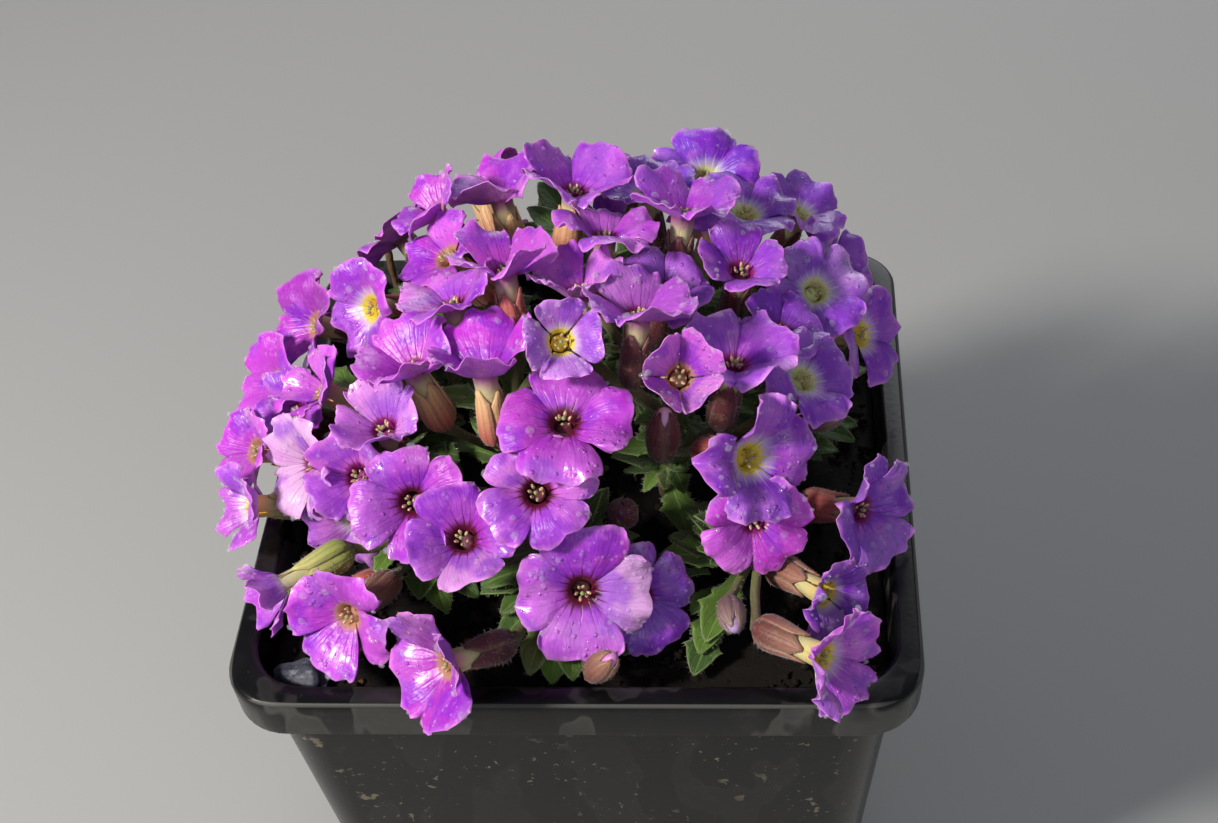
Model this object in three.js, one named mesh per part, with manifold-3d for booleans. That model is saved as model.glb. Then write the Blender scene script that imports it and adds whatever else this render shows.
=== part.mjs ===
// A purple rock cress in flower, in its square nursery pot.
// Millimetres, +Z up, origin at the middle of the pot's underside. -Y is the front, +X the right.
import * as THREE from 'three';
import { mergeVertices } from 'three/addons/utils/BufferGeometryUtils.js';
import Module from 'manifold-3d';

const wasm = await Module();
wasm.setup();

// Driving sizes of the pot and what fills it
const potWidth = 90; // outside the rim
const potHeight = 80;
const rimDepth = 6.4; // how far the rim's skirt hangs down
const rimCorner = 8;
const wall = 1;
const bodyTopHalf = 41.9;
const bodyTaper = 0.1; // how much each side comes in for each millimetre down
const bodyCorner = 7.5;
const baseCorner = 6.5;
const floorThickness = 1.2;
const drainLift = 2; // how far the corners of the floor are raised
const drainSpan = 14;
const drainRadius = 3.2;
const clearance = 0.35; // between pieces that touch
const soilLevel = 75.2;
const soilBump = 0.7;
const holeDepth = 6;

// Driving sizes of the plant
const throatRadius = 1.5;
const throatDepth = 1.5;
const petalThickness = 0.72;
const tubeLength = 3.4; // from the throat's plane down to the sepals
const calyxLength = 8;
const calyxRadius = 1.9;
const stalkRadius = 0.65;
const shootRadius = 1.3;
const leafThickness = 0.7;

// The eye that sees the plant as the photograph does; a place in it is [pixels right, pixels down]
const eye = new THREE.Vector3(27, -190.5, 269.8);
const eyeTurn = { yaw: 7.08, pitch: 43.41, roll: -5.54 };
const eyeLens = 1893;
const frameSize = [1218, 823];

// Flowers: the place of the throat in the photograph, its height over the rim, the way it faces as
// [right, up, towards the eye] in hundredths, its span, how far it cups, the turn of its petals in
// degrees, and its tone from magenta, 0, to blue violet, 1
const seenFlowers = [
  { id: 1, at: [587, 595], over: 9.5, face: [0, -22, 97], span: 18.6, cup: 0.04, turn: 4, tone: 0.45 },
  { id: 2, at: [636, 600], over: 4.5, face: [28, -20, 94], span: 15, cup: 0.1, turn: 30, tone: 0.95 },
  { id: 3, at: [439, 665], over: 7.5, face: [-74, -18, 65], span: 17.5, cup: 0.42, turn: 14, tone: 0.05 },
  { id: 4, at: [343, 622], over: 6.5, face: [-46, -42, 78], span: 16, cup: 0.26, turn: -28, tone: 0.1 },
  { id: 5, at: [277, 596], over: 5, face: [-80, -50, 32], span: 11, cup: 0.5, turn: 20, tone: 0.35 },
  { id: 6, at: [409, 499], over: 17, face: [-28, -6, 96], span: 16, cup: 0.12, turn: 8, tone: 0.2 },
  { id: 7, at: [459, 533], over: 15, face: [-18, 24, 95], span: 15, cup: 0.35, turn: 22, tone: 0.25 },
  { id: 8, at: [311, 466], over: 11, face: [-74, -4, 67], span: 15.5, cup: 0.18, turn: 45, tone: 0 },
  { id: 9, at: [252, 494], over: 4.5, face: [-78, 6, 62], span: 13.5, cup: 0.28, turn: 12, tone: 0.3 },
  { id: 10, at: [350, 512], over: 7.5, face: [-42, -46, 78], span: 15, cup: 0.1, turn: 0, tone: 0.3 },
  { id: 11, at: [352, 474], over: 13, face: [-38, 22, 90], span: 13, cup: 0.45, turn: 40, tone: 0.1 },
  { id: 12, at: [385, 425], over: 21, face: [-20, 52, 83], span: 13, cup: 0.5, turn: 10, tone: 0.2 },
  { id: 13, at: [302, 332], over: 15, face: [-86, 24, 45], span: 16.5, cup: 0.16, turn: 30, tone: 0 },
  { id: 14, at: [275, 380], over: 10.5, face: [-80, 12, 59], span: 15, cup: 0.2, turn: 35, tone: 0 },
  { id: 15, at: [262, 452], over: 6.5, face: [-66, 28, 68], span: 14, cup: 0.25, turn: 50, tone: 0 },
  { id: 16, at: [315, 398], over: 15, face: [-76, 42, 50], span: 13, cup: 0.35, turn: 12, tone: 0.05 },
  { id: 17, at: [285, 416], over: 10, face: [-56, 34, 76], span: 13, cup: 0.2, turn: 20, tone: 0.35 },
  { id: 18, at: [562, 425], over: 27, face: [0, 46, 89], span: 17.6, cup: 0.06, turn: -8, tone: 0.2 },
  { id: 19, at: [538, 488], over: 21.5, face: [-4, 4, 99], span: 15, cup: 0.05, turn: 42, tone: 0.2 },
  { id: 20, at: [556, 339], over: 33.5, face: [6, 10, 99], span: 11, cup: 0.45, turn: 10, tone: 0.9 },
  { id: 21, at: [480, 358], over: 31, face: [-16, 84, 52], span: 16.5, cup: 0.5, turn: 24, tone: 0.05 },
  { id: 22, at: [407, 368], over: 27, face: [-40, 74, 54], span: 15, cup: 0.45, turn: 40, tone: 0.05 },
  { id: 23, at: [503, 268], over: 36, face: [-10, 92, 38], span: 15, cup: 0.4, turn: 45, tone: 0.1 },
  { id: 24, at: [452, 303], over: 32, face: [-30, 77, 56], span: 14.5, cup: 0.3, turn: 20, tone: 0.15 },
  { id: 25, at: [365, 309], over: 24, face: [-72, -8, 69], span: 15, cup: 0.2, turn: 30, tone: 0.3 },
  { id: 26, at: [440, 250], over: 31, face: [-54, 46, 71], span: 14, cup: 0.2, turn: 10, tone: 0 },
  { id: 27, at: [440, 212], over: 31, face: [-50, 68, 54], span: 12, cup: 0.3, turn: 30, tone: 0.1 },
  { id: 28, at: [487, 188], over: 33, face: [-18, 90, 40], span: 16, cup: 0.4, turn: 8, tone: 0.05 },
  { id: 29, at: [580, 188], over: 37.5, face: [8, 89, 45], span: 17, cup: 0.45, turn: 40, tone: 0.15 },
  { id: 30, at: [605, 225], over: 36, face: [0, 90, 44], span: 15, cup: 0.1, turn: 10, tone: 0.2 },
  { id: 31, at: [680, 212], over: 36, face: [4, 92, 39], span: 15, cup: 0.35, turn: 28, tone: 0.3 },
  { id: 32, at: [706, 176], over: 32, face: [8, 22, 97], span: 16.5, cup: 0.05, turn: 2, tone: 1 },
  { id: 33, at: [650, 190], over: 32, face: [-4, 70, 71], span: 14, cup: 0.2, turn: 0, tone: 1 },
  { id: 34, at: [748, 208], over: 30, face: [18, 74, 65], span: 15, cup: 0.2, turn: 20, tone: 0.9 },
  { id: 35, at: [803, 215], over: 22.5, face: [36, 66, 66], span: 14.5, cup: 0.2, turn: 44, tone: 0.8 },
  { id: 36, at: [836, 253], over: 18, face: [56, 36, 75], span: 14, cup: 0.1, turn: 12, tone: 0.7 },
  { id: 37, at: [818, 286], over: 24.5, face: [24, 28, 93], span: 15.5, cup: 0.02, turn: 30, tone: 1 },
  { id: 38, at: [868, 333], over: 14, face: [78, 6, 62], span: 15, cup: 0.12, turn: 30, tone: 0.6 },
  { id: 39, at: [741, 268], over: 30, face: [10, 64, 76], span: 13, cup: 0.25, turn: 5, tone: 0.6 },
  { id: 40, at: [667, 284], over: 32, face: [12, 62, 77], span: 13.5, cup: 0.15, turn: 40, tone: 0.9 },
  { id: 41, at: [632, 306], over: 35, face: [2, 86, 51], span: 16, cup: 0.3, turn: 15, tone: 0.2 },
  { id: 42, at: [580, 282], over: 35, face: [-12, 78, 61], span: 13.5, cup: 0.4, turn: 40, tone: 0.1 },
  { id: 43, at: [729, 360], over: 29, face: [10, 74, 66], span: 16, cup: 0.35, turn: 30, tone: 0.45 },
  { id: 44, at: [687, 374], over: 30, face: [8, 16, 98], span: 11.5, cup: 0.85, turn: 45, tone: 0 },
  { id: 45, at: [803, 371], over: 22.5, face: [42, 50, 75], span: 15, cup: 0.1, turn: 10, tone: 0.8 },
  { id: 46, at: [788, 330], over: 24.5, face: [34, 60, 72], span: 13, cup: 0.2, turn: 40, tone: 0.9 },
  { id: 47, at: [756, 463], over: 19.5, face: [58, -4, 81], span: 17.5, cup: 0.1, turn: 6, tone: 0.5 },
  { id: 48, at: [757, 521], over: 11.5, face: [14, -34, 93], span: 15.5, cup: 0.02, turn: 44, tone: 0.1 },
  { id: 49, at: [868, 514], over: 6.5, face: [70, -10, 70], span: 16.5, cup: 0.22, turn: 30, tone: 0.65 },
  { id: 50, at: [829, 596], over: 5, face: [64, -34, 69], span: 12.5, cup: 0.15, turn: 10, tone: 0.75 },
  { id: 51, at: [830, 662], over: 6.5, face: [72, -30, 62], span: 15.5, cup: 0.34, turn: 40, tone: 0.2 },
];

// Flowers on the far side of the dome, by the compass and the height at which they stand on it
const farFlowers = [
  { id: 52, compass: 52, climb: 22, span: 15, cup: 0.1, turn: 20, tone: 0.8 },
  { id: 53, compass: 78, climb: 31, span: 16, cup: 0.08, turn: 44, tone: 0.6 },
  { id: 54, compass: 103, climb: 29, span: 15, cup: 0.15, turn: 8, tone: 0.3 },
  { id: 55, compass: 119, climb: 33, span: 16, cup: 0.1, turn: 30, tone: 0.2 },
  { id: 56, compass: 142, climb: 27, span: 15, cup: 0.12, turn: 5, tone: 0.1 },
  { id: 57, compass: 162, climb: 16, span: 14.5, cup: 0.1, turn: 38, tone: 0.05 },
  { id: 58, compass: 66, climb: 5, span: 15, cup: 0.08, turn: 12, tone: 0.7 },
  { id: 59, compass: 92, climb: 7, span: 16, cup: 0.1, turn: 36, tone: 0.5 },
  { id: 60, compass: 118, climb: 6, span: 15, cup: 0.12, turn: 22, tone: 0.15 },
];

// Flowers that lean on each other, petal on petal, and make one piece
const bunches = [
  [1, 2], [6, 7], [8, 11], [14, 17], [18, 19], [23, 24], [26, 27], [29, 30], [31, 33], [32, 34],
  [35, 36], [41, 42], [43, 44], [45, 46], [47, 48], [55, 56],
];

// Buds, placed as the flowers are
const buds = [
  { id: 'a', at: [666, 404], over: 24, face: [4, 82, 57], size: 1 },
  { id: 'b', at: [620, 512], over: 13, face: [-10, 10, 99], size: 0.9 },
  { id: 'c', at: [736, 632], over: 5.5, face: [10, -52, 85], size: 0.8 },
  { id: 'd', at: [616, 660], over: 3, face: [42, 52, 74], size: 0.8 },
  { id: 'e', at: [345, 590], over: 4, face: [-78, -20, 60], size: 0.8 },
  { id: 'f', at: [845, 416], over: 10, face: [86, 10, 50], size: 0.8 },
  { id: 'g', at: [324, 437], over: 10, face: [-70, 20, 68], size: 0.7 },
];

// Shoots: where each stands in the soil, and its crown, from which the flower stalks part
const shoots = [
  { root: [-21, -19], crown: [-25, -21, 86] },
  { root: [-1, -22], crown: [-2, -25, 88] },
  { root: [21, -21], crown: [25, -23, 86] },
  { root: [-25, 2], crown: [-30, 2, 90] },
  { root: [-8, -3], crown: [-9, -8, 97] },
  { root: [11, -3], crown: [14, -7, 96] },
  { root: [26, 4], crown: [30, 5, 89] },
  { root: [-17, 21], crown: [-21, 22, 92] },
  { root: [3, 19], crown: [3, 18, 98] },
  { root: [21, 23], crown: [24, 22, 91] },
];

// Leaves that show between the flowers: the place of the tip and its height over the rim
const seenLeaves = [
  { at: [553, 684], over: -1.5 },
  { at: [580, 668], over: 0.5 },
  { at: [706, 634], over: 1.5 },
  { at: [688, 600], over: 3 },
  { at: [664, 548], over: 7 },
  { at: [640, 560], over: 5 },
  { at: [606, 478], over: 12 },
  { at: [508, 556], over: 9 },
  { at: [700, 434], over: 17 },
  { at: [690, 505], over: 9 },
  { at: [850, 432], over: 6 },
  { at: [480, 580], over: 4 },
];

const domeCentre = new THREE.Vector3(0, 6, 76);
const domeRadius = 41;
const leavesOnShoot = 4;
const soilHalf = 38.5; // leaves end short of the pot's wall
const neighbourReach = 24; // flowers whose throats are further apart never touch
const degree = Math.PI / 180;
const goldenTurn = 137.5 * degree;

// Numbers between 0 and 1 that are the same on every run
function seededRandom(seed) {
  let state = seed >>> 0;
  return () => {
    state = (state + 0x6d2b79f5) >>> 0;
    let mixed = Math.imul(state ^ (state >>> 15), state | 1);
    mixed = (mixed + Math.imul(mixed ^ (mixed >>> 7), mixed | 61)) ^ mixed;
    return ((mixed ^ (mixed >>> 14)) >>> 0) / 4294967296;
  };
}

// The eye's own axes, turned by its yaw, pitch and roll
function eyeAxes() {
  const [yaw, pitch, roll] = [eyeTurn.yaw, eyeTurn.pitch, eyeTurn.roll].map((a) => a * degree);
  const ahead = new THREE.Vector3(
    -Math.sin(yaw) * Math.cos(pitch),
    Math.cos(yaw) * Math.cos(pitch),
    -Math.sin(pitch),
  );
  const level = new THREE.Vector3(Math.cos(yaw), Math.sin(yaw), 0);
  const upright = level.clone().cross(ahead);
  const right = level.clone().multiplyScalar(Math.cos(roll)).addScaledVector(upright, Math.sin(roll));
  const up = upright.multiplyScalar(Math.cos(roll)).addScaledVector(level, -Math.sin(roll));
  return { ahead, right, up };
}
const { ahead, right, up } = eyeAxes();

function sightLine([u, v]) {
  return ahead.clone().multiplyScalar(eyeLens)
    .addScaledVector(right, u - frameSize[0] / 2)
    .addScaledVector(up, frameSize[1] / 2 - v)
    .normalize();
}

// The point that the photograph shows at a pixel, at a height over the rim
function pointSeen(at, over) {
  const line = sightLine(at);
  return eye.clone().addScaledVector(line, (potHeight + over - eye.z) / line.z);
}

function directionSeen([r, u, t]) {
  return right.clone().multiplyScalar(r)
    .addScaledVector(up, u)
    .addScaledVector(ahead, -t)
    .normalize();
}

// Closed solids from vertices and triangles, and back again
function solidFrom(points, triangles) {
  const vertProperties = new Float32Array(points.flatMap((p) => [p.x, p.y, p.z]));
  const triVerts = new Uint32Array(triangles.flat());
  return new wasm.Manifold(new wasm.Mesh({ numProp: 3, vertProperties, triVerts }));
}

function solidOfGeometry(geometry) {
  const bare = geometry.clone();
  bare.deleteAttribute('normal');
  bare.deleteAttribute('uv');
  const merged = mergeVertices(bare, 1e-4);
  const triVerts = new Uint32Array(merged.index.array);
  const vertProperties = new Float32Array(merged.attributes.position.array);
  return new wasm.Manifold(new wasm.Mesh({ numProp: 3, vertProperties, triVerts }));
}

function geometryOf(solid) {
  const mesh = solid.getMesh();
  const geometry = new THREE.BufferGeometry();
  geometry.setAttribute('position', new THREE.BufferAttribute(new Float32Array(mesh.vertProperties), 3));
  geometry.setIndex(new THREE.BufferAttribute(new Uint32Array(mesh.triVerts), 1));
  geometry.computeVertexNormals();
  return geometry;
}

function joined(solids) {
  return solids.reduce((whole, next) => whole.add(next));
}

// The largest body of a solid: a cut can leave a scrap loose
function largestBody(solid) {
  return solid.decompose().reduce((most, next) => (next.volume() > most.volume() ? next : most));
}

// A solid skinned over rings of equal count, with a flat end at the first and the last
function loft(rings) {
  const count = rings[0].length;
  const triangles = [];
  for (let ring = 0; ring + 1 < rings.length; ring++) {
    for (let i = 0; i < count; i++) {
      const next = (i + 1) % count;
      const [a, b] = [ring * count + i, ring * count + next];
      triangles.push([a, b, b + count], [a, b + count, a + count]);
    }
  }
  const last = (rings.length - 1) * count;
  for (let i = 1; i + 1 < count; i++) {
    triangles.push([0, i + 1, i], [last, last + i, last + i + 1]);
  }
  return solidFrom(rings.flat(), triangles);
}

// A stem or stalk: a tube with flat ends through points, each with its own radius
function tube(points, radii, sides) {
  const rings = [];
  let side = new THREE.Vector3(0.31, 0.87, 0.38);
  points.forEach((point, i) => {
    const before = points[Math.max(0, i - 1)];
    const after = points[Math.min(points.length - 1, i + 1)];
    const tangent = after.clone().sub(before).normalize();
    side = side.clone().addScaledVector(tangent, -side.dot(tangent)).normalize();
    const across = tangent.clone().cross(side);
    rings.push(Array.from({ length: sides }, (_, k) => {
      const angle = (2 * Math.PI * k) / sides;
      return point.clone()
        .addScaledVector(side, radii[i] * Math.cos(angle))
        .addScaledVector(across, radii[i] * Math.sin(angle));
    }));
  });
  return loft(rings);
}

// The pot: one moulding, lofted up the outside, over the rim and down the inside
function roundedSquare(half, corner, z, steps = 3) {
  const points = [];
  for (let quarter = 0; quarter < 4; quarter++) {
    const middle = new THREE.Vector2(half - corner, half - corner)
      .rotateAround(new THREE.Vector2(), (quarter * Math.PI) / 2);
    for (let i = 0; i <= steps; i++) {
      const angle = (quarter + i / steps) * (Math.PI / 2);
      points.push(new THREE.Vector3(
        middle.x + corner * Math.cos(angle),
        middle.y + corner * Math.sin(angle),
        z,
      ));
    }
  }
  return points;
}

function bodyHalf(z) {
  return bodyTopHalf - bodyTaper * (potHeight - rimDepth - z);
}

function bodyRing(z, inset = 0) {
  const corner = THREE.MathUtils.lerp(baseCorner, bodyCorner, z / potHeight) - inset * 0.6;
  return roundedSquare(bodyHalf(z) - inset, corner, z);
}

function buildPot() {
  const rimHalf = potWidth / 2;
  const skirtFoot = potHeight - rimDepth;
  const lip = 1.2; // thickness of the flat top of the rim
  const skin = [
    bodyRing(0, 0.7),
    bodyRing(0.8),
    bodyRing(potHeight - lip),
    roundedSquare(rimHalf - 1.1, rimCorner - 0.8, potHeight - lip),
    roundedSquare(rimHalf - 1.2, rimCorner - 0.8, skirtFoot),
    roundedSquare(rimHalf - 0.3, rimCorner, skirtFoot),
    roundedSquare(rimHalf, rimCorner, potHeight - 0.9),
    roundedSquare(rimHalf - 0.5, rimCorner, potHeight),
    roundedSquare(bodyHalf(potHeight) - wall + 0.5, bodyCorner, potHeight),
    bodyRing(potHeight - 0.8, wall),
    bodyRing(floorThickness, wall),
  ];
  let pot = loft(skin);
  const outside = loft([bodyRing(0), bodyRing(potHeight - 2)]);
  for (const [sx, sy] of [[1, 1], [-1, 1], [-1, -1], [1, -1]]) {
    const place = bodyHalf(0) - 1.5 - drainSpan / 2;
    const raised = new THREE.BoxGeometry(drainSpan + 3, drainSpan + 3, drainLift + floorThickness);
    raised.translate(sx * place, sy * place, (drainLift + floorThickness) / 2);
    pot = pot.add(solidOfGeometry(raised).intersect(outside));
  }
  for (const [sx, sy] of [[1, 1], [-1, 1], [-1, -1], [1, -1]]) {
    const place = bodyHalf(0) - 1.5 - drainSpan / 2;
    const pocket = new THREE.BoxGeometry(drainSpan, drainSpan, 2 * drainLift);
    pocket.translate(sx * (place + 2), sy * (place + 2), 0);
    const hole = new THREE.CylinderGeometry(drainRadius, drainRadius, 12, 8).rotateX(Math.PI / 2);
    hole.translate(sx * (place + 0.5), sy * (place + 0.5), 0);
    const inside = loft([bodyRing(-1, 2.6), bodyRing(potHeight - 2, 2.6)]);
    pot = pot.subtract(solidOfGeometry(pocket).intersect(inside)).subtract(solidOfGeometry(hole));
  }
  return pot;
}

// The soil: it fills the pot to a little under the rim, uneven on top, with a hole for each shoot
function soilHeight(x, y) {
  return soilLevel + soilBump * (Math.sin(x * 0.31 + 1.3) * Math.cos(y * 0.27 - 0.4)
    + 0.5 * Math.sin(x * 0.83 - y * 0.61));
}

function buildSoil(stems) {
  const skin = clearance + wall;
  const rings = [bodyRing(floorThickness + clearance, skin), bodyRing(soilLevel - 1, skin)];
  for (const share of [0.88, 0.66, 0.4, 0.15]) {
    rings.push(bodyRing(soilLevel, skin).map((p) => new THREE.Vector3(
      p.x * share,
      p.y * share,
      soilHeight(p.x * share, p.y * share),
    )));
  }
  let soil = loft(rings);
  for (const [sx, sy] of [[1, 1], [-1, 1], [-1, -1], [1, -1]]) {
    const place = bodyHalf(0) - 1.5 - drainSpan / 2;
    const span = drainSpan + 3 + 2 * clearance;
    const raised = new THREE.BoxGeometry(span, span, 2 * (drainLift + floorThickness + clearance));
    raised.translate(sx * place, sy * place, 0);
    soil = soil.subtract(solidOfGeometry(raised));
  }
  for (const { foot, radius } of stems) {
    const hole = new THREE.CylinderGeometry(radius, radius, 2 * holeDepth, 6).rotateX(Math.PI / 2);
    hole.translate(foot.x, foot.y, soilLevel);
    soil = soil.subtract(solidOfGeometry(hole));
  }
  return soil;
}

// The stone that lies in the front left corner
function buildStone() {
  const place = pointSeen([284, 694], -3.4).add(new THREE.Vector3(2.2, 3, 0));
  const shape = new THREE.IcosahedronGeometry(1, 1);
  const spot = shape.attributes.position;
  for (let i = 0; i < spot.count; i++) {
    const p = new THREE.Vector3().fromBufferAttribute(spot, i);
    const rough = 1 + 0.13 * Math.sin(5 * p.x + 2 * p.y) + 0.1 * Math.cos(6 * p.z - 3 * p.y);
    p.multiply(new THREE.Vector3(3.6, 2.3, 1.5)).multiplyScalar(rough);
    spot.setXYZ(i, p.x, p.y, Math.max(p.z, -0.9));
  }
  shape.rotateZ(-12 * degree);
  shape.translate(place.x, place.y, soilHeight(place.x, place.y) + 0.9 + 0.55);
  return solidOfGeometry(shape);
}

// The dry stalk that curls up behind the flowers at the back left
function dryStalkPoints() {
  const foot = new THREE.Vector3(-31, 34, soilLevel);
  return [
    foot.clone().add(new THREE.Vector3(1, -1, -4.5)),
    foot,
    new THREE.Vector3(-32.5, 35.5, 82),
    new THREE.Vector3(-33, 36, 88),
    new THREE.Vector3(-32.6, 36.6, 91.5),
    new THREE.Vector3(-31, 37, 93),
    new THREE.Vector3(-29.4, 37, 91.6),
    new THREE.Vector3(-28.2, 37, 88.8),
    new THREE.Vector3(-27.4, 37.4, 86.2),
  ];
}

// What differs from petal to petal: how far it lifts, tilts and waves
function petalTraits(id) {
  const random = seededRandom(7919 * id + 11);
  return Array.from({ length: 4 }, () => ({
    lift: 0.36 * (random() - 0.5),
    tilt: 0.34 * (random() - 0.5),
    wave: 0.6 + 0.8 * random(),
    phase: 2 * Math.PI * random(),
    reach: 0.93 + 0.12 * random(),
  }));
}

// Half the width of a petal, as a share of the flower's half span: narrow at the claw, round ahead
function petalHalfWidth(s) {
  const widest = 0.66;
  const claw = Math.min(1, s / widest);
  const spread = 0.13 + 0.37 * claw * (2 - claw);
  const tip = Math.max(0, (s - widest) / (1 - widest));
  return spread * Math.sqrt(Math.max(0, 1 - tip * tip));
}

// A point of a petal's middle surface in the flower's own frame, whose axis is +Z:
// s runs from the throat to the tip, w from side to side
function petalPoint(flower, index, s, w) {
  const traits = flower.petals[index];
  const halfSpan = (flower.span / 2) * traits.reach;
  const length = halfSpan - throatRadius;
  const half = petalHalfWidth(s) * halfSpan;
  const notch = 0.06 * halfSpan * Math.max(0, (s - 0.7) / 0.3) * Math.max(0, 1 - 2.5 * Math.abs(w));
  const out = throatRadius + length * s * (1 - 0.3 * flower.cup * s) - notch;
  const rise = flower.cup * halfSpan * s ** 1.5 + traits.lift * length * s
    - throatDepth * (1 - s) ** 3;
  const sag = -0.09 * halfSpan * w * w * s + traits.tilt * half * w;
  const wave = traits.wave * halfSpan * (0.05 * s * Math.sin(2.6 * w + traits.phase)
    + 0.04 * s * s * Math.cos(4.6 * w + 2 * traits.phase));
  const angle = (flower.turn + 90 * index) * degree;
  const local = new THREE.Vector3(out, half * w, rise + sag + wave);
  return local.applyAxisAngle(new THREE.Vector3(0, 0, 1), angle);
}

// Which way the upper face looks at a point; short of the tip, where the two sides meet
function petalNormal(flower, index, s, w) {
  const step = 0.02;
  const stop = THREE.MathUtils.clamp(s, step, 0.9);
  const along = petalPoint(flower, index, stop + step, w).sub(petalPoint(flower, index, stop - step, w));
  const across = petalPoint(flower, index, stop, w + step).sub(petalPoint(flower, index, stop, w - step));
  return along.cross(across).normalize();
}

// A place in the flower's own frame, put into the plant's
function placed(flower, local) {
  return flower.throat.clone()
    .addScaledVector(flower.side, local.x)
    .addScaledVector(flower.across, local.y)
    .addScaledVector(flower.axis, local.z);
}

// The four petals round the throat, with the stub of the tube, as one closed mesh.
// The same split is used on both faces of a petal.
const petalStops = [
  [0, -1], [0, 1], [0.34, -1], [0.34, 1], [0.66, -1], [0.66, 1], [0.92, -1], [1, 0], [0.92, 1],
];
const petalFaces = [
  [0, 2, 3], [0, 3, 1], [2, 4, 5], [2, 5, 3], [4, 6, 7], [4, 7, 5], [5, 7, 8],
];
const petalEdge = [0, 2, 4, 6, 7, 8, 5, 3, 1];

function corolla(flower) {
  const count = petalStops.length;
  const points = [];
  for (const face of [0.5, -0.5]) {
    for (let petal = 0; petal < 4; petal++) {
      for (const [s, w] of petalStops) {
        const middle = petalPoint(flower, petal, s, w);
        points.push(middle.addScaledVector(petalNormal(flower, petal, s, w), face * petalThickness));
      }
    }
  }
  const top = (petal, stop) => (petal % 4) * count + stop;
  const under = (petal, stop) => 4 * count + top(petal, stop);
  const nub = points.push(new THREE.Vector3(0, 0, -0.35)) - 1;
  const stub = points.length;
  for (let k = 0; k < 4; k++) {
    const angle = (flower.turn + 90 * k) * degree;
    points.push(new THREE.Vector3(1.25 * Math.cos(angle), 1.25 * Math.sin(angle), -tubeLength));
  }
  const triangles = [];
  const wallBetween = (a, b, c, d) => triangles.push([a, c, d], [a, d, b]);
  for (let k = 0; k < 4; k++) {
    for (const [a, b, c] of petalFaces) {
      triangles.push([top(k, a), top(k, b), top(k, c)], [under(k, c), under(k, b), under(k, a)]);
    }
    for (let i = 0; i + 1 < petalEdge.length; i++) {
      const [a, b] = [petalEdge[i], petalEdge[i + 1]];
      wallBetween(top(k, a), top(k, b), under(k, a), under(k, b));
    }
    wallBetween(top(k, 1), top(k + 1, 0), under(k, 1), under(k + 1, 0));
    triangles.push([nub, top(k, 0), top(k, 1)], [nub, top(k, 1), top(k + 1, 0)]);
    const next = stub + ((k + 1) % 4);
    triangles.push([under(k, 0), stub + k, under(k, 1)]);
    wallBetween(under(k, 1), under(k + 1, 0), stub + k, next);
  }
  triangles.push([stub, stub + 3, stub + 2], [stub, stub + 2, stub + 1]);
  return solidFrom(points.map((p) => placed(flower, p)), triangles);
}

// Where each flower and bud starts, before they make room for each other
function newBody(entry, throat, axis, petals) {
  const side = up.clone().addScaledVector(axis, -up.dot(axis)).normalize();
  const body = { ...entry, petals, throat, axis, side, across: axis.clone().cross(side) };
  body.home = throat.clone();
  body.homeAxis = axis.clone();
  body.bunch = bunches.find((ids) => ids.includes(entry.id)) ?? [entry.id];
  body.clusters = roomClusters(body);
  return body;
}

function startingBodies() {
  const seen = seenFlowers.map((entry) => newBody(
    entry,
    pointSeen(entry.at, entry.over),
    directionSeen(entry.face),
    petalTraits(entry.id),
  ));
  const far = farFlowers.map((entry) => {
    const axis = new THREE.Vector3(
      Math.cos(entry.climb * degree) * Math.cos(entry.compass * degree),
      Math.cos(entry.climb * degree) * Math.sin(entry.compass * degree),
      Math.sin(entry.climb * degree),
    );
    const throat = domeCentre.clone().addScaledVector(axis, domeRadius);
    throat.z += 4;
    axis.z += 0.35;
    return newBody(entry, throat, axis.normalize(), petalTraits(entry.id));
  });
  const shut = buds.map((entry) => newBody(
    entry,
    pointSeen(entry.at, entry.over),
    directionSeen(entry.face),
    null,
  ));
  return [...seen, ...far, ...shut];
}

// Balls that stand for a body while it makes room: one cluster for each petal and one for the calyx
const petalRoom = 0.9;
function roomClusters(body) {
  if (!body.petals) {
    const axis = [-1.5, -4, -6.5].map((z) => new THREE.Vector3(0, 0, z * body.size));
    return [{ radius: 2.3 * body.size, local: axis }];
  }
  const clusters = body.petals.map((_, petal) => ({
    radius: petalRoom,
    local: [0.22, 0.46, 0.7, 0.93].flatMap((s) => (
      [-0.85, -0.28, 0.28, 0.85].map((w) => petalPoint(body, petal, s, w)))),
  }));
  const axis = [-2.5, -5, -7.5, -10].map((z) => new THREE.Vector3(0, 0, z));
  return [...clusters, { radius: calyxRadius + 0.25, local: axis }];
}

function placeRoom(body, grown) {
  body.room = body.clusters.map(({ radius, local }) => {
    const points = local.map((p) => placed(body, p.clone().multiplyScalar(grown)));
    const middle = points.reduce((sum, p) => sum.add(p), new THREE.Vector3()).divideScalar(points.length);
    const reach = radius + Math.max(...points.map((p) => p.distanceTo(middle)));
    return { radius, points, middle, reach };
  });
}

// Petals of one bunch may come closer than others, as a share of their room
const bunchRoom = 0.6;
function pushApart(first, second, push) {
  const friends = first.bunch === second.bunch;
  const off = new THREE.Vector3();
  for (const a of first.room) {
    for (const b of second.room) {
      if (a.middle.distanceTo(b.middle) > a.reach + b.reach) continue;
      const bothPetals = a.radius === petalRoom && b.radius === petalRoom;
      const near = (a.radius + b.radius) * (friends && bothPetals ? bunchRoom : 1);
      for (const p of a.points) {
        for (const q of b.points) {
          const far = off.subVectors(p, q).length();
          if (far < near && far > 1e-4) {
            off.multiplyScalar((near - far) / far / 2);
            push(first, p, off);
            push(second, q, off.negate());
          }
        }
      }
    }
  }
}

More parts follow.
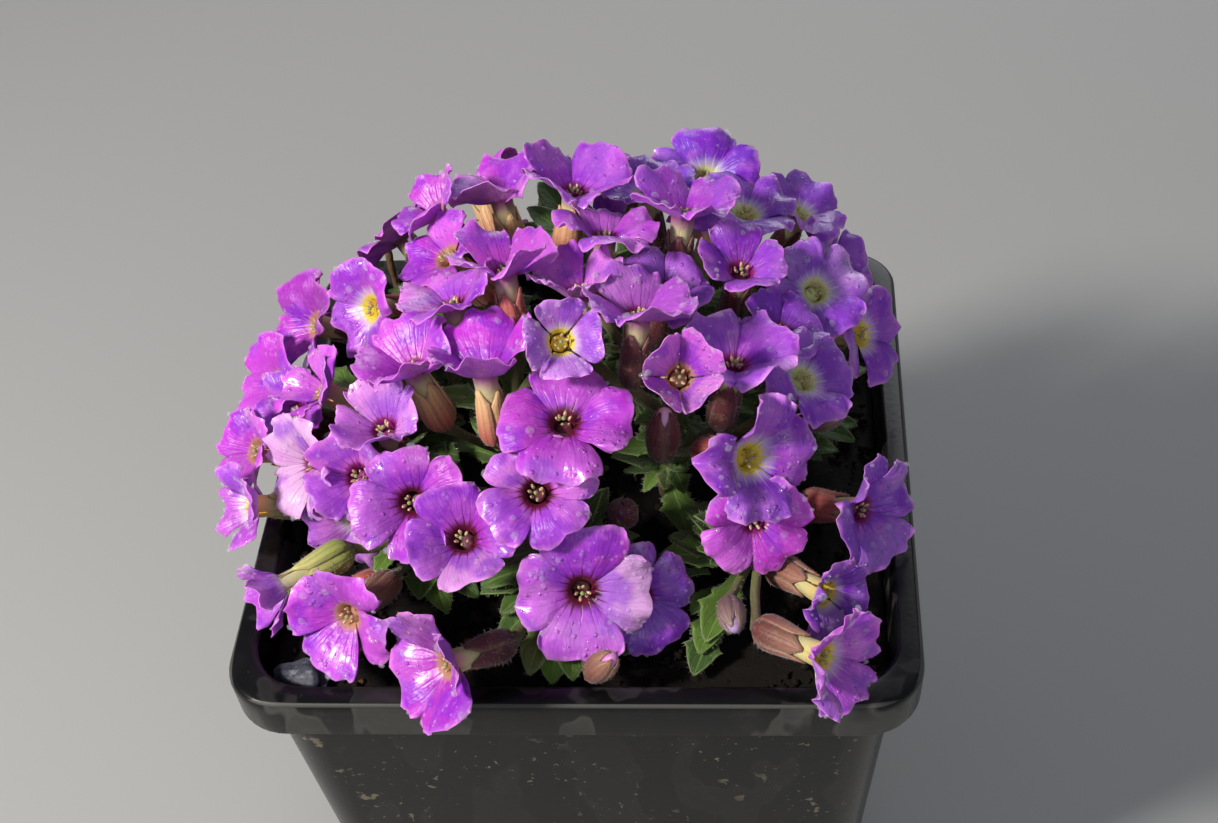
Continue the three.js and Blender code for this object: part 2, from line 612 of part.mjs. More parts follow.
// Soil under the flowers, and the pot's rim round them
function floorAt(x, y) {
  return Math.max(Math.abs(x), Math.abs(y)) > 40 ? potHeight + 0.4 : soilLevel + 1.6;
}

function pushUp(body, push) {
  for (const { points, radius } of body.room) {
    for (const p of points) {
      const deep = floorAt(p.x, p.y) + radius - p.z;
      if (deep > 0 && Math.max(Math.abs(p.x), Math.abs(p.y)) < 46) {
        push(body, p, new THREE.Vector3(0, 0, deep));
      }
    }
  }
}

// The flowers open from small to full size. Those that meet slip apart along the line of sight
// more easily than across it, and turn a little, so that the view keeps its picture.
const roomSteps = 120;
function makeRoom(bodies) {
  const arm = new THREE.Vector3();
  const push = (body, point, shove) => {
    body.shove.add(shove);
    body.twist.add(arm.subVectors(point, body.throat).cross(shove));
    body.hits += 1;
  };
  for (let step = 0; step < roomSteps; step++) {
    for (const body of bodies) {
      placeRoom(body, Math.min(1, 0.45 + (0.75 * step) / roomSteps));
      body.shove = new THREE.Vector3();
      body.twist = new THREE.Vector3();
      body.hits = 0;
    }
    bodies.forEach((first, i) => {
      for (const second of bodies.slice(i + 1)) {
        const near = first.throat.distanceTo(second.throat) < neighbourReach;
        if (near) pushApart(first, second, push);
      }
      pushUp(first, push);
    });
    for (const body of bodies) {
      const sight = body.home.clone().sub(eye).normalize();
      if (body.hits) {
        body.throat.addScaledVector(body.shove, 1.5 / (body.hits + 2));
        const turn = body.twist.multiplyScalar(0.03 / (body.hits + 2));
        const angle = Math.min(turn.length(), 0.05);
        turn.normalize();
        for (const line of [body.axis, body.side]) line.applyAxisAngle(turn, angle);
      }
      const off = body.home.clone().sub(body.throat);
      const deep = sight.clone().multiplyScalar(off.dot(sight));
      body.throat.addScaledVector(off.sub(deep), 0.03).addScaledVector(deep, 0.004);
      body.axis.addScaledVector(body.homeAxis, 0.02).normalize();
      body.side.addScaledVector(body.axis, -body.side.dot(body.axis)).normalize();
      body.across = body.axis.clone().cross(body.side);
    }
  }
  for (const body of bodies) placeRoom(body, 1);
}

// Each flower and bud hangs on a shoot near the foot of its calyx, by the way that is least crowded
const stalkRoom = 1.05;
function shootPoints(shoot) {
  const foot = new THREE.Vector3(...shoot.root, soilLevel - holeDepth + 1);
  const crown = new THREE.Vector3(...shoot.crown);
  const knee = new THREE.Vector3(...shoot.root, soilLevel + 3);
  return [foot, knee, knee.clone().lerp(crown, 0.5), crown];
}

function nearestOnShoot(shoot, point) {
  const [, knee, , crown] = shoot.points;
  const line = new THREE.Line3(knee, crown);
  return line.closestPointToPoint(point, true, new THREE.Vector3());
}

function calyxFoot(body) {
  const length = body.petals ? tubeLength + 0.3 + calyxLength : 8 * body.size;
  return body.throat.clone().addScaledVector(body.axis, -length);
}

// How much a stalk from a flower to a place on a stem would run into other flowers
function crowding(bodies, body, hold) {
  const curve = new THREE.QuadraticBezierCurve3(calyxFoot(body), body.inward, hold);
  let sum = 0;
  for (const t of [0.2, 0.4, 0.6, 0.8]) {
    const point = curve.getPoint(t);
    for (const other of bodies) {
      if (other === body || other.throat.distanceTo(point) > neighbourReach) continue;
      for (const { points, radius } of other.room) {
        for (const p of points) sum += Math.max(0, radius + stalkRoom - p.distanceTo(point));
      }
    }
  }
  return sum;
}

function hangOnShoots(bodies) {
  for (const body of bodies) {
    body.inward = calyxFoot(body).addScaledVector(body.axis, -3);
    body.inward.z -= 3;
    const cost = (shoot) => {
      const hold = nearestOnShoot(shoot, body.inward);
      return hold.distanceTo(body.inward) + 6 * crowding(bodies, body, hold);
    };
    const costs = shoots.map(cost);
    body.shoot = shoots[costs.indexOf(Math.min(...costs))];
  }
  for (const shoot of shoots) {
    const [, knee, , crown] = shoot.points;
    const hung = bodies.filter((body) => body.shoot === shoot);
    hung.sort((a, b) => a.inward.z - b.inward.z);
    hung.forEach((body, i) => {
      const hold = knee.clone().lerp(crown, 0.1 + (0.88 * (i + 1)) / hung.length);
      const curve = new THREE.QuadraticBezierCurve3(calyxFoot(body), body.inward, hold);
      body.stalk = [0, 0.5, 1].map((t) => curve.getPoint(t));
    });
  }
}

// Each stalk's bend moves clear of the flowers and of the stalks of other shoots
function clearStalks(bodies) {
  const off = new THREE.Vector3();
  const away = (shove, point, other, room, share) => {
    const short = room - off.subVectors(point, other).length();
    if (short > 0) shove.addScaledVector(off.normalize(), short * share);
  };
  for (let step = 0; step < 40; step++) {
    for (const body of bodies) {
      const [foot, bend, hold] = body.stalk;
      const shove = new THREE.Vector3();
      for (const other of bodies) {
        if (other === body || other.throat.distanceTo(bend) > neighbourReach) continue;
        for (const { points, radius } of other.room) {
          for (const p of points) {
            for (const t of [0.35, 0.7, 1]) {
              away(shove, foot.clone().lerp(bend, t), p, radius + stalkRoom, t);
              away(shove, hold.clone().lerp(bend, t), p, radius + stalkRoom, t);
            }
          }
        }
        if (other.shoot !== body.shoot) away(shove, bend, other.stalk[1], 2.2 * stalkRoom, 0.5);
      }
      bend.add(shove.clampLength(0, 0.5)).lerp(foot.clone().lerp(hold, 0.5), 0.04);
    }
  }
}

// A flower's calyx and stalk, or a bud on its stalk, as one four-sided tube
function greenStalk(body, swell = 0) {
  const [foot, ...rest] = body.stalk;
  const back = (z) => body.throat.clone().addScaledVector(body.axis, -z);
  const swollen = (radii) => radii.map((radius) => radius + swell);
  if (!body.petals) {
    const size = body.size;
    const points = [body.throat.clone(), back(2 * size), back(5 * size), foot, ...rest];
    const bulge = [0.8, 2, 2.1, 1.1].map((radius) => radius * size);
    return tube(points, swollen([...bulge, stalkRadius, stalkRadius]), 4);
  }
  const mouth = tubeLength + 0.3;
  const points = [back(mouth), back(mouth + 0.75 * calyxLength), foot, ...rest];
  return tube(points, swollen([0.85 * calyxRadius, calyxRadius, 1, stalkRadius, stalkRadius]), 4);
}

function stemTube(shoot, swell = 0) {
  return tube(shoot.points, [1, 1, 0.88, 0.8].map((share) => share * shootRadius + swell), 5);
}

// A petal that a stalk or a stem would still pass through has a gap for it
function clearOfStalks(solid, bodies) {
  const greens = [
    ...bodies.map((body) => (swell) => greenStalk(body, swell)),
    ...shoots.map((shoot) => (swell) => stemTube(shoot, swell)),
  ];
  return greens.reduce((petals, green) => (
    petals.intersect(green(0)).volume() > 0 ? largestBody(petals.subtract(green(clearance))) : petals
  ), solid);
}

// A leaf: spoon-shaped, with a tooth on each side, thin and a little folded along its rib
const leafEdge = [
  [0, -0.09], [0.36, -0.26], [0.64, -0.5], [0.74, -0.34], [1, 0], [0.74, 0.34], [0.64, 0.5],
  [0.36, 0.26], [0, 0.09],
];
function leafPoint(leaf, s, w) {
  const fold = 0.35 * Math.abs(w) * leaf.width;
  const arch = leaf.arch * leaf.length * s * s;
  return leaf.base.clone()
    .addScaledVector(leaf.along, s * leaf.length)
    .addScaledVector(leaf.aside, w * leaf.width)
    .addScaledVector(leaf.normal, fold - arch);
}

function leafSolid(leaf) {
  const stops = [...leafEdge, [0.56, 0]];
  const count = stops.length;
  const points = [];
  for (const face of [0.5, -0.5]) {
    for (const [s, w] of stops) {
      points.push(leafPoint(leaf, s, w).addScaledVector(leaf.normal, face * leafThickness));
    }
  }
  const rib = count - 1;
  const triangles = [];
  for (let i = 0; i < leafEdge.length; i++) {
    const next = (i + 1) % leafEdge.length;
    triangles.push([rib, i, next], [count + rib, count + next, count + i]);
    triangles.push([i, count + i, count + next], [i, count + next, next]);
  }
  return solidFrom(points, triangles);
}

function newLeaf(base, tip, width, arch) {
  const along = tip.clone().sub(base);
  const length = along.length();
  along.normalize();
  const aside = new THREE.Vector3(0, 0, 1).cross(along).normalize();
  return { base, along, aside, normal: along.clone().cross(aside), length, width, arch };
}

function leafRoom(leaf) {
  const list = [];
  for (const s of [0.3, 0.5, 0.72, 0.95]) {
    for (const w of s > 0.9 ? [0] : [-0.4, 0, 0.4]) {
      list.push({ point: leafPoint(leaf, s, w), radius: 0.75, s });
    }
  }
  return list;
}

function touches(balls, others) {
  return balls.some((a) => others.some((b) => a.point.distanceTo(b.point) < a.radius + b.radius));
}

function flowerRoom(body) {
  return body.room.flatMap(({ points, radius }) => points.map((point) => ({ point, radius })));
}

// Leaves stand round each shoot by the golden angle, and at the places where the photograph shows
// them. One that would cross a flower, the soil or another shoot's parts is left out.
function growLeaves(bodies) {
  const wanted = [];
  for (const { at, over } of seenLeaves) {
    const tip = pointSeen(at, over);
    const shoot = shoots.reduce((best, next) => (
      nearestOnShoot(next, tip).distanceTo(tip) < nearestOnShoot(best, tip).distanceTo(tip) ? next : best));
    const base = nearestOnShoot(shoot, tip.clone().add(new THREE.Vector3(0, 0, -2)));
    const reach = tip.clone().sub(base).clampLength(8, 14);
    wanted.push({ shoot, leaf: newLeaf(base, base.clone().add(reach), 6, 0.12) });
  }
  shoots.forEach((shoot, index) => {
    const random = seededRandom(501 + index);
    for (let i = 0; i < 4 * leavesOnShoot; i++) {
      const [, knee, , crown] = shoot.points;
      const base = knee.clone().lerp(crown, (0.95 * i) / (4 * leavesOnShoot));
      const angle = i * goldenTurn + index;
      const climb = (10 + 45 * random()) * degree;
      const reach = 9 + 3.5 * random();
      const tip = base.clone().add(new THREE.Vector3(
        reach * Math.cos(climb) * Math.cos(angle),
        reach * Math.cos(climb) * Math.sin(angle),
        reach * Math.sin(climb),
      ));
      wanted.push({ shoot, leaf: newLeaf(base, tip, 5 + 1.2 * random(), 0.05 + 0.15 * random()) });
    }
  });
  const taken = new Map(shoots.map((shoot) => [shoot, []]));
  for (const { shoot, leaf } of wanted) {
    const room = leafRoom(leaf);
    const grown = taken.get(shoot);
    const low = room.some(({ point }) => (
      point.z < soilLevel + 1.8 || Math.max(Math.abs(point.x), Math.abs(point.y)) > soilHalf));
    const outer = room.filter(({ s }) => s > 0.6);
    const near = (other) => (other === shoot ? outer : room);
    const crossed = bodies.some((body) => (
      body.throat.distanceTo(leaf.base) < 32
      && (touches(near(body.shoot), flowerRoom(body))
        || touches(near(body.shoot), stalkRoomPoints(body)))));
    const others = shoots.some((other) => (
      touches(near(other), taken.get(other).flatMap((grownLeaf) => grownLeaf.room))
      || (other !== shoot && touches(room, stemRoomPoints(other)))));
    if (!low && !crossed && !others && grown.length < leavesOnShoot) {
      grown.push({ ...leaf, room });
    }
  }
  return taken;
}

function alongLine(points, radius) {
  const list = [];
  for (let i = 0; i + 1 < points.length; i++) {
    for (const t of [0, 0.33, 0.67, 1]) {
      list.push({ point: points[i].clone().lerp(points[i + 1], t), radius });
    }
  }
  return list;
}

function stalkRoomPoints(body) {
  return alongLine(body.stalk, stalkRadius + 0.3);
}

function stemRoomPoints(shoot) {
  return alongLine(shoot.points, shootRadius + 0.4);
}

// Flowers whose petals cross are one piece: their sets, by the pairs that meet
function crossingSets(flowers) {
  const sets = flowers.map((flower) => ({ members: [flower], solid: corolla(flower) }));
  for (let i = 0; i < sets.length; i++) {
    for (let j = i + 1; j < sets.length; j++) {
      if (sets[i].solid.intersect(sets[j].solid).volume() > 0) {
        sets[i].members.push(...sets[j].members);
        sets[i].solid = sets[i].solid.add(sets[j].solid);
        sets.splice(j, 1);
        j = i;
      }
    }
  }
  return sets;
}

// Finishes
const finishes = {
  potPlastic: new THREE.MeshStandardMaterial({ color: 0x17181a, roughness: 0.32, metalness: 0 }),
  peat: new THREE.MeshStandardMaterial({ color: 0x1d1510, roughness: 0.95, metalness: 0 }),
  stone: new THREE.MeshStandardMaterial({ color: 0x3d4150, roughness: 0.7, metalness: 0 }),
  dryStem: new THREE.MeshStandardMaterial({ color: 0x4a3527, roughness: 0.8, metalness: 0 }),
  leaf: new THREE.MeshStandardMaterial({ color: 0x3f6b22, roughness: 0.6, metalness: 0 }),
};

function petalFinish(tone) {
  const color = new THREE.Color(0xb044c8).lerp(new THREE.Color(0x5a34b8), tone);
  return new THREE.MeshStandardMaterial({ color, roughness: 0.5, metalness: 0 });
}

const plant = new THREE.Group();

function addPiece(name, solid, material) {
  const mesh = new THREE.Mesh(geometryOf(solid), material);
  mesh.name = name;
  plant.add(mesh);
}

function twoDigits(number) {
  return String(number).padStart(2, '0');
}

for (const shoot of shoots) shoot.points = shootPoints(shoot);
const bodies = startingBodies();
makeRoom(bodies);
hangOnShoots(bodies);
clearStalks(bodies);
const leaves = growLeaves(bodies);

const dryStalk = dryStalkPoints();
const stems = shoots.map((shoot) => ({ foot: shoot.points[0], radius: shootRadius + clearance }));
stems.push({ foot: dryStalk[1], radius: 2.4 });

addPiece('pot', buildPot(), finishes.potPlastic);
addPiece('soil', buildSoil(stems), finishes.peat);
addPiece('stone', buildStone(), finishes.stone);
addPiece('dry_stalk', tube(dryStalk, dryStalk.map(() => 0.6), 5), finishes.dryStem);

shoots.forEach((shoot, index) => {
  const stalks = bodies.filter((body) => body.shoot === shoot).map((body) => greenStalk(body));
  const blades = leaves.get(shoot).map(leafSolid);
  const shape = largestBody(joined([stemTube(shoot), ...stalks, ...blades]));
  addPiece(`shoot_${twoDigits(index + 1)}`, shape, finishes.leaf);
});

for (const { members, solid } of crossingSets(bodies.filter((body) => body.petals))) {
  const ids = members.map((flower) => flower.id).sort((a, b) => a - b);
  const name = `bloom_${ids.map(twoDigits).join('_')}`;
  addPiece(name, clearOfStalks(solid, bodies), petalFinish(members[0].tone));
}

export default plant;
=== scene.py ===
"""A potted purple rock cress in flower, dressed for a plain studio.

The plan below is in millimetres, in the part's own frame; every mesh is made in metres. The flowers, stalks
and leaves stand where the part has them: the same plan is grown again here, and then given its fine shape.
"""
import logging
import math
from collections.abc import Callable, Iterable, Sequence
from dataclasses import dataclass, field
from enum import Enum

import bpy
import numpy as np
from bpy.types import Material, Object
from mathutils import Matrix, Vector
from mathutils.bvhtree import BVHTree


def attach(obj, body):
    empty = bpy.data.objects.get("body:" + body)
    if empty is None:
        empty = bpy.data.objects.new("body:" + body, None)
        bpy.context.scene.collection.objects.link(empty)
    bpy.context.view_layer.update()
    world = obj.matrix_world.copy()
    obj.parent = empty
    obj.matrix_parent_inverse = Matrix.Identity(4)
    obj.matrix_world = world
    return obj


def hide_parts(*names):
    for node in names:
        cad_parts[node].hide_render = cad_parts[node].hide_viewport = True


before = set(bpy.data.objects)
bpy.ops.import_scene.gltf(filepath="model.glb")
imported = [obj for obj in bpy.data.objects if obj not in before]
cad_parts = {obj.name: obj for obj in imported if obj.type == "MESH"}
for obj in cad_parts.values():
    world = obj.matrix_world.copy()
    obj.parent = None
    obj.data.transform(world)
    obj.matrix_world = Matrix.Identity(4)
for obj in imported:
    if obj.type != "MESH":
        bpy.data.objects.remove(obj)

Array = np.ndarray
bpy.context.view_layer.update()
LOG = logging.getLogger("rock_cress")
MM = 0.001
DEGREE = math.pi / 180
GOLDEN_TURN = 137.5 * DEGREE

# The pot and what fills it
POT_HEIGHT = 80.0
POT_WIDTH = 90.0
RIM_DEPTH = 6.4
WALL = 1.0
BODY_TOP_HALF = 41.9
BODY_TAPER = 0.1
BODY_CORNER = 7.5
BASE_CORNER = 6.5
RIM_CORNER = 8.0
FLOOR_THICKNESS = 1.2
DRAIN_LIFT = 2.0
DRAIN_SPAN = 14.0
DRAIN_RADIUS = 3.2
CLEARANCE = 0.35
SOIL_LEVEL = 75.2
SOIL_BUMP = 0.7
HOLE_DEPTH = 6.0

# The plant
THROAT_RADIUS = 1.5
THROAT_DEPTH = 1.5
TUBE_LENGTH = 3.4
CALYX_LENGTH = 8.0
CALYX_RADIUS = 1.9
STALK_RADIUS = 0.65
SHOOT_RADIUS = 1.3
DOME_CENTRE = np.array([0.0, 6.0, 76.0])
DOME_RADIUS = 41.0
SOIL_HALF = 38.5
NEIGHBOUR_REACH = 24.0
LEAVES_ON_SHOOT = 4
PHOTO_SIZE = (1218, 823)


class Heart(Enum):
    """What shows in a flower's throat: linear red, green and blue, and how far up the petals it reaches."""

    DARK = (0.120, 0.003, 0.030, 0.115)
    LINED = (0.26, 0.01, 0.16, 0.08)
    TAN = (0.52, 0.26, 0.16, 0.085)
    YELLOW = (0.86, 0.66, 0.08, 0.085)
    PALE = (0.74, 0.74, 0.36, 0.08)


class Sepals(Enum):
    """The colour of a calyx, linear red, green and blue: low on it, and at its tips."""

    MAROON = ((0.042, 0.004, 0.009), (0.135, 0.018, 0.028))
    BROWN = ((0.150, 0.030, 0.026), (0.350, 0.160, 0.100))
    TAN = ((0.500, 0.110, 0.085), (0.820, 0.520, 0.240))
    GREEN = ((0.270, 0.310, 0.060), (0.560, 0.520, 0.180))
    RED = ((0.380, 0.030, 0.045), (0.600, 0.170, 0.130))
    GREY = ((0.120, 0.060, 0.065), (0.260, 0.160, 0.150))


@dataclass(frozen=True)
class Flower:
    """A flower of the plan: where its throat shows in the photograph, its height over the rim, the way it
    faces as (right, up, towards the eye) in hundredths, its span, cup, turn and tone, and its looks."""

    number: int
    at: tuple[float, float]
    over: float
    face: tuple[float, float, float]
    span: float
    cup: float
    turn: float
    # tone: from magenta at 0 to violet at 1, partly the flower's own hue and partly painted shade.
    tone: float
    heart: Heart = Heart.LINED
    sepals: Sepals = Sepals.MAROON
    dew: float = 0.3
    # pale: towards pink-white, partly the flower's own paleness and partly painted light; below 0 it darkens
    # the flower as painted shade.
    pale: float = 0.1
    folds: tuple[float, float, float, float] = (0.0, 0.0, 0.0, 0.0)
    # lights: added to pale for each petal, painted light and painted shade on single petals.
    lights: tuple[float, float, float, float] = (0.0, 0.0, 0.0, 0.0)


@dataclass(frozen=True)
class FarFlower:
    """A flower on the far side of the dome, by the compass and the height at which it stands there."""

    number: int
    compass: float
    climb: float
    span: float
    cup: float
    turn: float
    tone: float
    heart: Heart = Heart.LINED
    sepals: Sepals = Sepals.MAROON
    dew: float = 0.3
    pale: float = 0.1


@dataclass(frozen=True)
class Bud:
    """A bud of the plan, placed as a flower is, with the colour of the petals at its tip."""

    at: tuple[float, float]
    over: float
    face: tuple[float, float, float]
    size: float
    sepals: Sepals
    tip: tuple[float, float, float]


# The tones, pales and lights below hold painted light and shade besides each flower's own colour: violet
# tones and pales below 0 are partly painted shade, high pales and lights partly painted light, and single
# petals carry painted highlights and painted shadows through their lights.
SEEN_FLOWERS = (
    Flower(1, (587, 595), 9.5, (0, -22, 97), 18.6, 0.04, 4, 0.24, Heart.DARK, dew=1.0, pale=0.06,
           lights=(-0.05, 0.05, -0.05, 0.75)),
    Flower(2, (636, 600), 4.5, (28, -20, 94), 15, 0.1, 30, 0.95, dew=0.8, pale=0.0),
    Flower(3, (439, 665), 7.5, (-74, -18, 65), 17.5, 0.42, 14, 0.05, Heart.TAN, dew=1.0, pale=-0.28,
           folds=(0.1, 0, 0, 0.5), lights=(-0.1, 0.1, 0.1, 0)),
    Flower(4, (343, 622), 6.5, (-46, -42, 78), 16, 0.26, -28, 0.1, Heart.TAN, Sepals.BROWN, dew=1.0,
           pale=0.0),
    Flower(5, (277, 596), 5, (-80, -50, 32), 11, 0.5, 20, 0.35, Heart.PALE, Sepals.GREEN, dew=0.6,
           folds=(0.3, 0, 0, 0.6)),
    Flower(6, (409, 499), 17, (-28, -6, 96), 16, 0.12, 8, 0.1, Heart.DARK, dew=0.5, pale=0.06),
    Flower(7, (459, 533), 15, (-18, 24, 95), 15, 0.35, 22, 0.25, Heart.DARK, dew=0.6, pale=0.25,
           lights=(0, 0.1, 0.2, -0.6)),
    Flower(8, (311, 466), 11, (-74, -4, 67), 15.5, 0.18, 45, 0, dew=1.0, pale=0.95),
    Flower(9, (252, 494), 4.5, (-78, 6, 62), 13.5, 0.28, 12, 0.3, Heart.YELLOW, Sepals.GREEN, dew=1.0,
           folds=(0.5, 0, 0, 0.4)),
    Flower(10, (350, 512), 7.5, (-42, -46, 78), 15, 0.1, 0, 0.3, Heart.PALE, Sepals.GREEN, dew=0.5,
           pale=0.4),
    Flower(11, (352, 474), 13, (-38, 22, 90), 13, 0.45, 40, 0.1, dew=0.5, pale=0.3),
    Flower(12, (385, 425), 21, (-20, 52, 83), 13, 0.5, 10, 0.2, dew=0.5, pale=0.4),
    Flower(13, (302, 332), 15, (-86, 24, 45), 16.5, 0.16, 30, 0, Heart.TAN, dew=0.6, pale=-0.3),
    Flower(14, (275, 380), 10.5, (-80, 12, 59), 15, 0.2, 35, 0, Heart.TAN, dew=0.7, pale=-0.05),
    Flower(15, (262, 452), 6.5, (-66, 28, 68), 14, 0.25, 50, 0, Heart.TAN, Sepals.RED, dew=0.7),
    Flower(16, (315, 398), 15, (-76, 42, 50), 13, 0.35, 12, 0.05, Heart.TAN, Sepals.TAN, dew=0.6,
           folds=(0, 0.5, 0, 0.3)),
    Flower(17, (285, 416), 10, (-56, 34, 76), 13, 0.2, 20, 0.35, dew=0.9),
    Flower(18, (562, 425), 27, (0, 46, 89), 17.6, 0.06, -8, 0.2, Heart.DARK, dew=0.5, pale=0.0,
           lights=(0.05, 0, -0.1, 0.05)),
    Flower(19, (538, 488), 21.5, (-4, 4, 99), 15, 0.05, 42, 0.2, Heart.DARK, dew=0.5, pale=0.15),
    Flower(20, (556, 339), 33.5, (6, 10, 99), 11, 0.45, 10, 0.75, Heart.YELLOW, Sepals.GREEN, dew=1.0,
           pale=0.25),
    Flower(21, (480, 358), 31, (-16, 84, 52), 16.5, 0.5, 24, 0.05, sepals=Sepals.TAN, dew=0.6, pale=0.0),
    Flower(22, (407, 368), 27, (-40, 74, 54), 15, 0.45, 40, 0.05, sepals=Sepals.TAN, dew=0.5),
    Flower(23, (503, 268), 36, (-10, 92, 38), 15, 0.4, 45, 0.1, sepals=Sepals.RED, dew=0.4),
    Flower(24, (452, 303), 32, (-30, 77, 56), 14.5, 0.3, 20, 0.15, sepals=Sepals.MAROON, dew=0.5, pale=0.2),
    Flower(25, (365, 309), 24, (-72, -8, 69), 15, 0.2, 30, 0.3, Heart.YELLOW, Sepals.RED, dew=0.5),
    Flower(26, (440, 250), 31, (-54, 46, 71), 14, 0.2, 10, 0, Heart.TAN, Sepals.TAN),
    Flower(27, (440, 212), 31, (-50, 68, 54), 12, 0.3, 30, 0.1, Heart.TAN),
    Flower(28, (487, 188), 33, (-18, 90, 40), 16, 0.4, 8, 0.05, sepals=Sepals.TAN, dew=0.2, pale=0.15),
    Flower(29, (580, 188), 37.5, (8, 89, 45), 17, 0.45, 40, 0.36, sepals=Sepals.TAN, dew=0.2, pale=0.0),
    Flower(30, (605, 225), 36, (0, 90, 44), 15, 0.1, 10, 0.2, sepals=Sepals.TAN, pale=0.15),
    Flower(31, (680, 212), 36, (4, 92, 39), 15, 0.35, 28, 0.42, sepals=Sepals.MAROON, pale=-0.12),
    Flower(32, (706, 176), 32, (8, 22, 97), 16.5, 0.05, 2, 1, Heart.PALE, dew=0.1, pale=0.0),
    Flower(33, (650, 190), 32, (-4, 70, 71), 14, 0.2, 0, 1, Heart.PALE, dew=0.1, pale=0.0),
    Flower(34, (748, 208), 30, (18, 74, 65), 15, 0.2, 20, 0.9, Heart.PALE, dew=0.2, pale=0.0),
    Flower(35, (803, 215), 22.5, (36, 66, 66), 14.5, 0.2, 44, 0.8, Heart.PALE, dew=0.2, pale=0.0),
    Flower(36, (836, 253), 18, (56, 36, 75), 14, 0.1, 12, 0.7, Heart.PALE, pale=0.0),
    Flower(37, (818, 286), 24.5, (24, 28, 93), 15.5, 0.02, 30, 1, Heart.PALE, pale=0.22),
    Flower(38, (868, 333), 14, (78, 6, 62), 15, 0.12, 30, 0.75, Heart.YELLOW, Sepals.GREY, pale=0.0),
    Flower(39, (741, 268), 30, (10, 64, 76), 13, 0.25, 5, 0.6, pale=0.0),
    Flower(40, (667, 284), 32, (12, 62, 77), 13.5, 0.15, 40, 0.9, pale=0.0),
    Flower(41, (632, 306), 35, (2, 86, 51), 16, 0.3, 15, 0.4, dew=0.6, pale=0.05),
    Flower(42, (580, 282), 35, (-12, 78, 61), 13.5, 0.4, 40, 0.1, dew=0.6, pale=0.35),
    Flower(43, (729, 360), 29, (10, 74, 66), 16, 0.35, 30, 0.6, dew=0.5, pale=0.15),
    Flower(44, (687, 374), 30, (8, 16, 98), 11.5, 0.85, 45, 0, Heart.TAN, Sepals.TAN, dew=0.8, pale=0.25,
           lights=(0.2, -0.1, 0.1, 0)),
    Flower(45, (803, 371), 22.5, (42, 50, 75), 15, 0.1, 10, 0.8, Heart.PALE, Sepals.GREY, dew=0.4, pale=0.0),
    Flower(46, (788, 330), 24.5, (34, 60, 72), 13, 0.2, 40, 0.9, pale=0.0),
    Flower(47, (756, 463), 19.5, (58, -4, 81), 17.5, 0.1, 6, 0.7, Heart.YELLOW, Sepals.RED, dew=0.8,
           folds=(0.8, 0.6, 0, 0), pale=-0.08, lights=(0.2, 0, 0, 0)),
    Flower(48, (757, 521), 11.5, (14, -34, 93), 15.5, 0.02, 44, 0.05, sepals=Sepals.RED, dew=0.6, pale=0.1),
    Flower(49, (868, 514), 6.5, (70, -10, 70), 16.5, 0.22, 30, 0.78, sepals=Sepals.RED, dew=0.5,
           pale=0.05, folds=(0.7, 0, 0, 0.5)),
    Flower(50, (829, 596), 5, (64, -34, 69), 12.5, 0.15, 10, 0.75, Heart.YELLOW, Sepals.BROWN, dew=0.9,
           folds=(0.2, 0.9, 0.1, 0)),
    Flower(51, (830, 662), 6.5, (72, -30, 62), 15.5, 0.34, 40, 0.4, Heart.YELLOW, Sepals.BROWN, dew=1.0,
           pale=0.05, folds=(0.3, 0.9, 0.2, 0), lights=(0, 0.4, 0, 0)),
)
FAR_FLOWERS = (
    FarFlower(52, 52, 22, 15, 0.1, 20, 0.8, Heart.PALE),
    FarFlower(53, 78, 31, 16, 0.08, 44, 0.6),
    FarFlower(54, 103, 29, 15, 0.15, 8, 0.3, Heart.DARK),
    FarFlower(55, 119, 33, 16, 0.1, 30, 0.2, sepals=Sepals.TAN),
    FarFlower(56, 142, 27, 15, 0.12, 5, 0.1, Heart.DARK),
    FarFlower(57, 162, 16, 14.5, 0.1, 38, 0.05, Heart.TAN, Sepals.BROWN),
    FarFlower(58, 66, 5, 15, 0.08, 12, 0.7, Heart.YELLOW, Sepals.GREEN),
    FarFlower(59, 92, 7, 16, 0.1, 36, 0.5, Heart.DARK, Sepals.BROWN),
    FarFlower(60, 118, 6, 15, 0.12, 22, 0.15, Heart.TAN, Sepals.GREEN),
)
BUNCHES = (
    (1, 2), (6, 7), (8, 11), (14, 17), (18, 19), (23, 24), (26, 27), (29, 30), (31, 33), (32, 34),
    (35, 36), (41, 42), (43, 44), (45, 46), (47, 48), (55, 56),
)
BUDS = (
    Bud((666, 404), 24, (4, 82, 57), 1, Sepals.MAROON, (0.75, 0.42, 0.70)),
    Bud((620, 512), 13, (-10, 10, 99), 0.9, Sepals.MAROON, (0.10, 0.015, 0.06)),
    Bud((736, 632), 5.5, (10, -52, 85), 0.8, Sepals.GREY, (0.45, 0.30, 0.55)),
    Bud((616, 660), 3, (42, 52, 74), 0.8, Sepals.BROWN, (0.66, 0.22, 0.60)),
    Bud((345, 590), 4, (-78, -20, 60), 0.8, Sepals.RED, (0.40, 0.08, 0.12)),
    Bud((845, 416), 10, (86, 10, 50), 0.8, Sepals.GREY, (0.12, 0.05, 0.12)),
    Bud((324, 437), 10, (-70, 20, 68), 0.7, Sepals.GREEN, (0.36, 0.34, 0.62)),
)
SHOOTS = (
    ((-21, -19), (-25, -21, 86)),
    ((-1, -22), (-2, -25, 88)),
    ((21, -21), (25, -23, 86)),
    ((-25, 2), (-30, 2, 90)),
    ((-8, -3), (-9, -8, 97)),
    ((11, -3), (14, -7, 96)),
    ((26, 4), (30, 5, 89)),
    ((-17, 21), (-21, 22, 92)),
    ((3, 19), (3, 18, 98)),
    ((21, 23), (24, 22, 91)),
)
